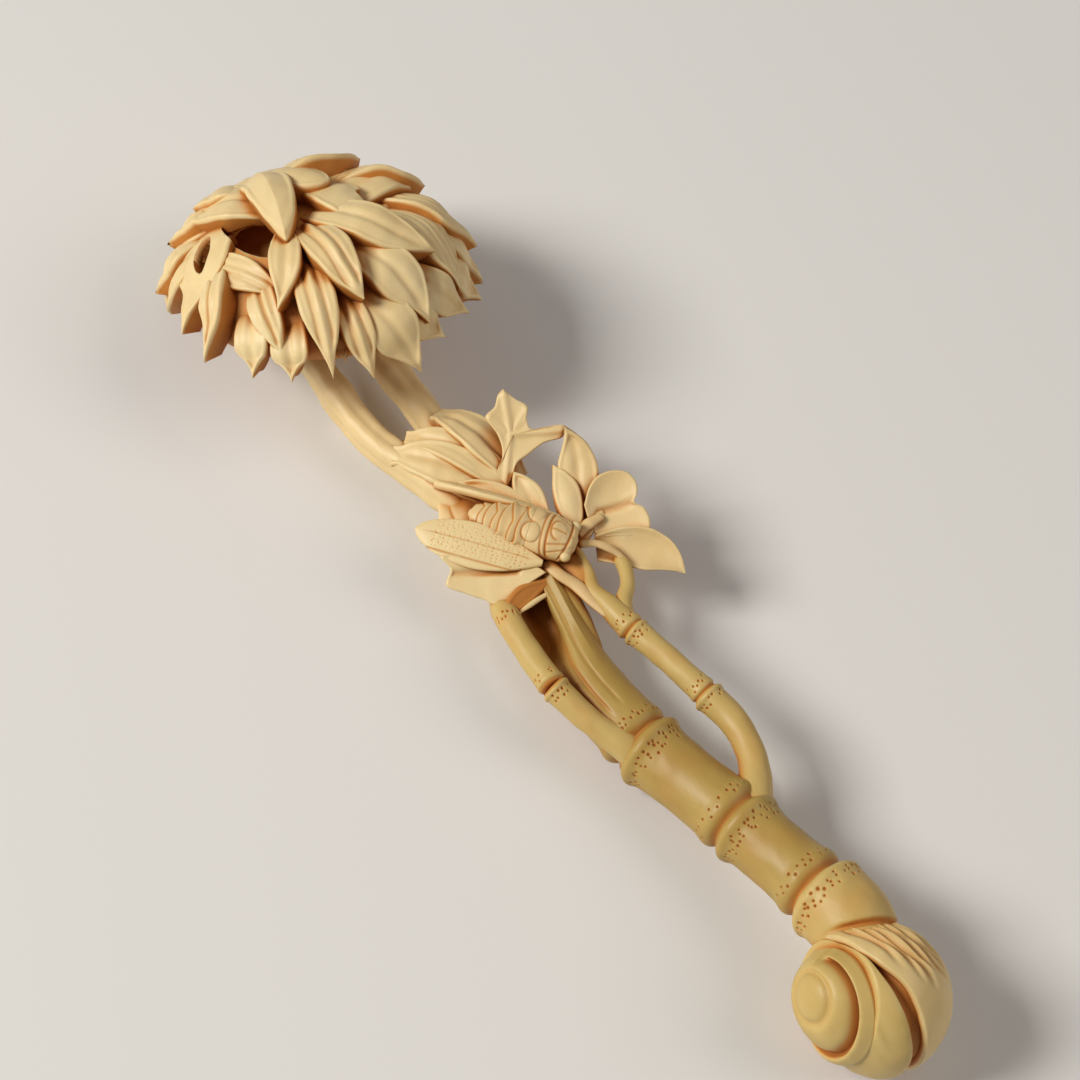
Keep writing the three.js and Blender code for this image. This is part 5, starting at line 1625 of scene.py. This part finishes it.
@dataclass
class SnailKnob:
    """Snail shell that ends the scepter: a spire, a round body and a pleated sheath."""

    sheath_wood: bpy.types.Material
    centre: Place = KNOB_CENTRE
    radius: float = 9.7
    sheath: float = 1.2
    rest: float = 1.6
    spire_axis: Place = (-0.3, -0.9, 0.31)
    spire_up: Place = (-0.724, 0.428, 0.542)
    spire_radius: float = 8.6
    spire_height: float = 11.7
    boss_radius: float = 3.3
    groove_start: float = 5.4
    groove_growth: float = 1.35
    # Angles of the pleats' ends, latitudes of lip and closed ends, and angle of the neck, in degrees
    pleat_ends: tuple = (80.0, 64.0, 50.0, 58.0, 44.0, 54.0, 62.0)
    lip: float = -12.0
    pole: float = 89.0
    neck: float = 128.0

    @staticmethod
    def ways(latitude: Array, turn: Array) -> Array:
        """Directions out of the round body, by latitude from the spire's side and angle about Y."""
        flat = np.cos(latitude)
        return np.stack([flat * np.cos(turn), np.sin(latitude) * np.ones_like(turn), flat * np.sin(turn)], -1)

    def shell(self, radius: Array, latitude: Array, turn: Array) -> Array:
        """Places round the body's centre, cut off flat where the scepter rests."""
        points = np.asarray(self.centre) + radius[..., None] * self.ways(latitude, turn)
        points[..., 2] = np.maximum(points[..., 2], self.rest)
        return points

    def body(self) -> Carving:
        """Body whorl that rises to a thin lip beside the channel."""
        rows, columns = 300, 260
        turn = turns(columns)[None]
        latitude = np.radians(np.linspace(-self.pole, self.pole, rows))[:, None]
        from_lip = np.degrees(latitude) - self.lip
        lip = 1.25 * ease(-42.0, -3.0, from_lip) * ease(1.4, -0.2, from_lip)
        crest = 0.35 * bell(from_lip, -16.0 - 10.0 * np.sin(turn), 3.5)
        crest = crest * ease(20.0, 60.0, np.degrees(turn)) * ease(150.0, 110.0, np.degrees(turn))
        radius = self.radius + lip + crest - 0.5 * bell(from_lip, 5.0, 6.0)
        to_spire = self.ways(latitude, turn) @ unit(np.array(self.spire_axis))
        from_spire = np.degrees(np.arccos(np.clip(to_spire, -1.0, 1.0)))
        radius = radius - 2.2 * ease(56.0, 46.0, from_spire)
        # Painted shade in the channel beyond the lip
        hollow = 0.6 * ease(0.5, 2.5, from_lip)
        return Carving.of("knob_body", self.shell(radius, latitude, turn), hollow, 0.06)

    def cover(self) -> Carving:
        """Sheath over the far half, with pleats that run out from the neck."""
        rows, lining_rows, columns = 150, 40, 300
        turn = turns(columns)[None]
        degrees = np.degrees((turn + math.pi) % (2 * math.pi) - math.pi)
        share = np.linspace(0.0, 1.0, rows)[:, None]
        channel = 10.5 * ease(116.0, 62.0, degrees) * ease(-165.0, -110.0, degrees)
        edge = np.radians(self.lip + channel)
        breadth = math.radians(self.pole) - edge
        outer_way = edge + breadth * (1.0 - share)
        inner_way = edge + breadth * np.linspace(0.03, 1.0, lining_rows)[:, None]
        sideways = np.degrees(outer_way)
        fold = np.zeros_like(sideways)
        for number, end in enumerate(self.pleat_ends):
            root = 2.0 + 6.4 * number + 0.9 * math.sin(2.3 * number)
            line = root + (0.08 + 0.03 * number) * (self.neck - degrees)
            line = line + 1.3 * np.sin(0.13 * degrees + 1.9 * number)
            width = 2.6 + 1.1 * ease(end, self.neck, degrees)
            fold = np.maximum(fold, bell(sideways, line, width) * ease(end, end + 30.0, degrees))
        fold = fold * ease(152.0, 138.0, degrees)
        rounding = 0.6 * bell(share, 1.0, 0.012)
        outer = (self.radius + self.sheath) - 0.8 * fold - rounding
        inner = np.full(inner_way.shape, self.radius - 0.9)
        latitude = np.vstack([outer_way, inner_way])
        # Painted shade in the pleats and on the lining
        hollow = np.vstack([0.3 * fold, np.full(inner_way.shape, 0.8)])
        points = self.shell(np.vstack([outer, inner]), latitude, np.broadcast_to(turn, latitude.shape))
        return Carving.of("knob_sheath", points, hollow, 0.06)

    def spire(self) -> Carving:
        """Spire: a round boss, a rounded whorl, and the ridge outside the spiral groove."""
        axis = unit(np.array(self.spire_axis))
        high = np.array(self.spire_up)
        high = unit(high - axis * high.dot(axis))
        right = np.cross(high, axis)
        rows, columns = 170, 260
        turn = turns(columns)[None]
        limit = self.spire_radius - 1.3 * np.cos(turn / 2) ** 2
        share = np.linspace(0.004, 1.0, rows)[:, None]
        reach = share * limit
        boss = self.boss_radius + 0.2 * np.sin(turn - 0.6)
        spiral = self.groove_start * self.groove_growth ** (turn / math.pi)
        fade = ease(0.0, 0.35, turn) * ease(5.4, 4.2, turn)
        main = bell(reach - spiral, 0.0, 0.36) * fade
        ridge = bell(reach - spiral, 0.95, 0.5) * fade
        valley = bell(reach - boss, 0.3, 0.55)
        whorl = np.sin(math.pi * np.clip((reach - boss) / (spiral - boss), 0.0, 1.0))
        shoulder = np.sqrt(self.radius ** 2 - limit ** 2) + 0.7
        height = self.spire_height - (self.spire_height - shoulder) * share ** 2.1
        height = height + 0.5 * whorl + 0.65 * ridge - 1.1 * main - 0.35 * valley
        shift = 1.1 * (1.0 - share ** 2)
        axes = high, right, axis
        top = turned(self.centre, axes, reach, turn, height) + shift[..., None] * high
        skirt = limit * np.array([[0.99], [0.95], [0.8]])
        base = turned(self.centre, axes, skirt, turn, shoulder - np.array([[1.2], [2.6], [3.4]]))
        # Painted shade in the spiral groove, in the valley round the boss and on the skirt
        hollow = np.vstack([np.clip(0.9 * main + 0.12 * valley, 0.0, 1.0), np.full(skirt.shape, 0.3)])
        return Carving.of("knob_spire", np.vstack([top, base]), hollow)

    def build(self, wood: bpy.types.Material) -> list[bpy.types.Object]:
        """Builds and dresses the knob."""
        return [self.spire().piece(wood), self.body().piece(wood), self.cover().piece(self.sheath_wood)]


@dataclass(frozen=True)
class Lamp:
    """Square soft lamp that faces the scepter.

    Attributes:
        name: Its name.
        way: Direction from the scepter to it.
        size: Width in metres.
        power: Power in watts.
        colour: Colour of its light.
        distance: Distance from the scepter in metres.
    """

    name: str
    way: Place
    size: float
    power: float
    colour: Place
    distance: float = 1.5

    def hang(self) -> None:
        """Hangs the lamp."""
        light = bpy.data.lights.new(self.name, "AREA")
        light.size = self.size
        light.energy = self.power
        light.color = self.colour
        lamp = bpy.data.objects.new(self.name, light)
        bpy.context.scene.collection.objects.link(lamp)
        direction = Vector(self.way).normalized()
        turn = direction.to_track_quat("Z", "Y").to_matrix().to_4x4()
        lamp.matrix_world = Matrix.Translation(direction * self.distance) @ turn


@dataclass(frozen=True)
class Studio:
    """Pale floor, soft lamps and the camera at the photograph's angle."""

    target: Place = (-2.5, 0.0, 19.9)
    azimuth: float = math.radians(38.1)
    elevation: float = math.radians(54.7)
    roll: float = math.radians(18.7)
    distance: float = 480.0
    field_of_view: float = math.radians(18.26)
    floor_size: float = 6.0
    floor_colour: tuple = (0.82, 0.81, 0.79, 1.0)
    floor_roughness: float = 0.8
    lamps: tuple[Lamp, ...] = (
        Lamp("key", (-0.34, -0.72, 0.6), 0.5, 20.5, (1.0, 0.97, 0.92)),
        Lamp("fill", (0.4, 0.5, 0.68), 1.0, 6.4, (1.0, 0.88, 0.78)),
    )
    surround_colour: tuple = (0.95, 0.97, 1.0, 1.0)
    surround_strength: float = 0.12

    def floor(self) -> None:
        """Lays the floor."""
        bpy.ops.mesh.primitive_plane_add(size=self.floor_size)
        floor = bpy.context.object
        floor.name = "floor"
        made = bpy.data.materials.new("pale floor")
        made.use_nodes = True
        shader = made.node_tree.nodes["Principled BSDF"]
        shader.inputs["Base Color"].default_value = self.floor_colour
        shader.inputs["Roughness"].default_value = self.floor_roughness
        floor.data.materials.append(made)

    def world(self) -> None:
        """Sets an even pale surround."""
        world = bpy.data.worlds.new("surround")
        world.use_nodes = True
        light = world.node_tree.nodes["Background"]
        light.inputs["Color"].default_value = self.surround_colour
        light.inputs["Strength"].default_value = self.surround_strength
        bpy.context.scene.world = world

    def camera(self) -> None:
        """Places the camera."""
        flat, high = math.cos(self.elevation), math.sin(self.elevation)
        ahead, aside = math.cos(self.azimuth), math.sin(self.azimuth)
        back = Vector((aside * flat, -ahead * flat, high))
        level = Vector((ahead, aside, 0.0))
        upright = back.cross(level)
        right = level * math.cos(self.roll) + upright * math.sin(self.roll)
        over = upright * math.cos(self.roll) - level * math.sin(self.roll)
        data = bpy.data.cameras.new("camera")
        data.sensor_fit = "HORIZONTAL"
        data.angle = self.field_of_view
        camera = bpy.data.objects.new("camera", data)
        bpy.context.scene.collection.objects.link(camera)
        place = Vector(metres(np.array(self.target))) + back * self.distance * MM
        turn = Matrix((right, over, back)).transposed().to_4x4()
        camera.matrix_world = Matrix.Translation(place) @ turn
        bpy.context.scene.camera = camera

    def build(self) -> None:
        """Sets up the whole studio."""
        self.floor()
        for lamp in self.lamps:
            lamp.hang()
        self.world()
        self.camera()
        bpy.context.scene.view_settings.view_transform = "Standard"


def main() -> None:
    """Builds every sub-assembly and the studio."""
    logging.basicConfig(level=logging.INFO, format="%(name)s: %(message)s")
    groups = grain_group(), crevice_group()
    pale, light, soft, golden = (finish.material(*groups) for finish in (PALE, LIGHT, SOFT, GOLDEN))
    parts = ((LeafHead(), pale), (LeafSpray(), pale), (Cicada(), pale), (Branches(), light),
             (Culm(light), golden), (SnailKnob(soft), light))
    for part, wood in parts:
        for piece in part.build(wood):
            LOG.info("%s has %d faces", piece.name, len(piece.data.polygons))
    Studio().build()
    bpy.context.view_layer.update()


if __name__ == "__main__":
    main()
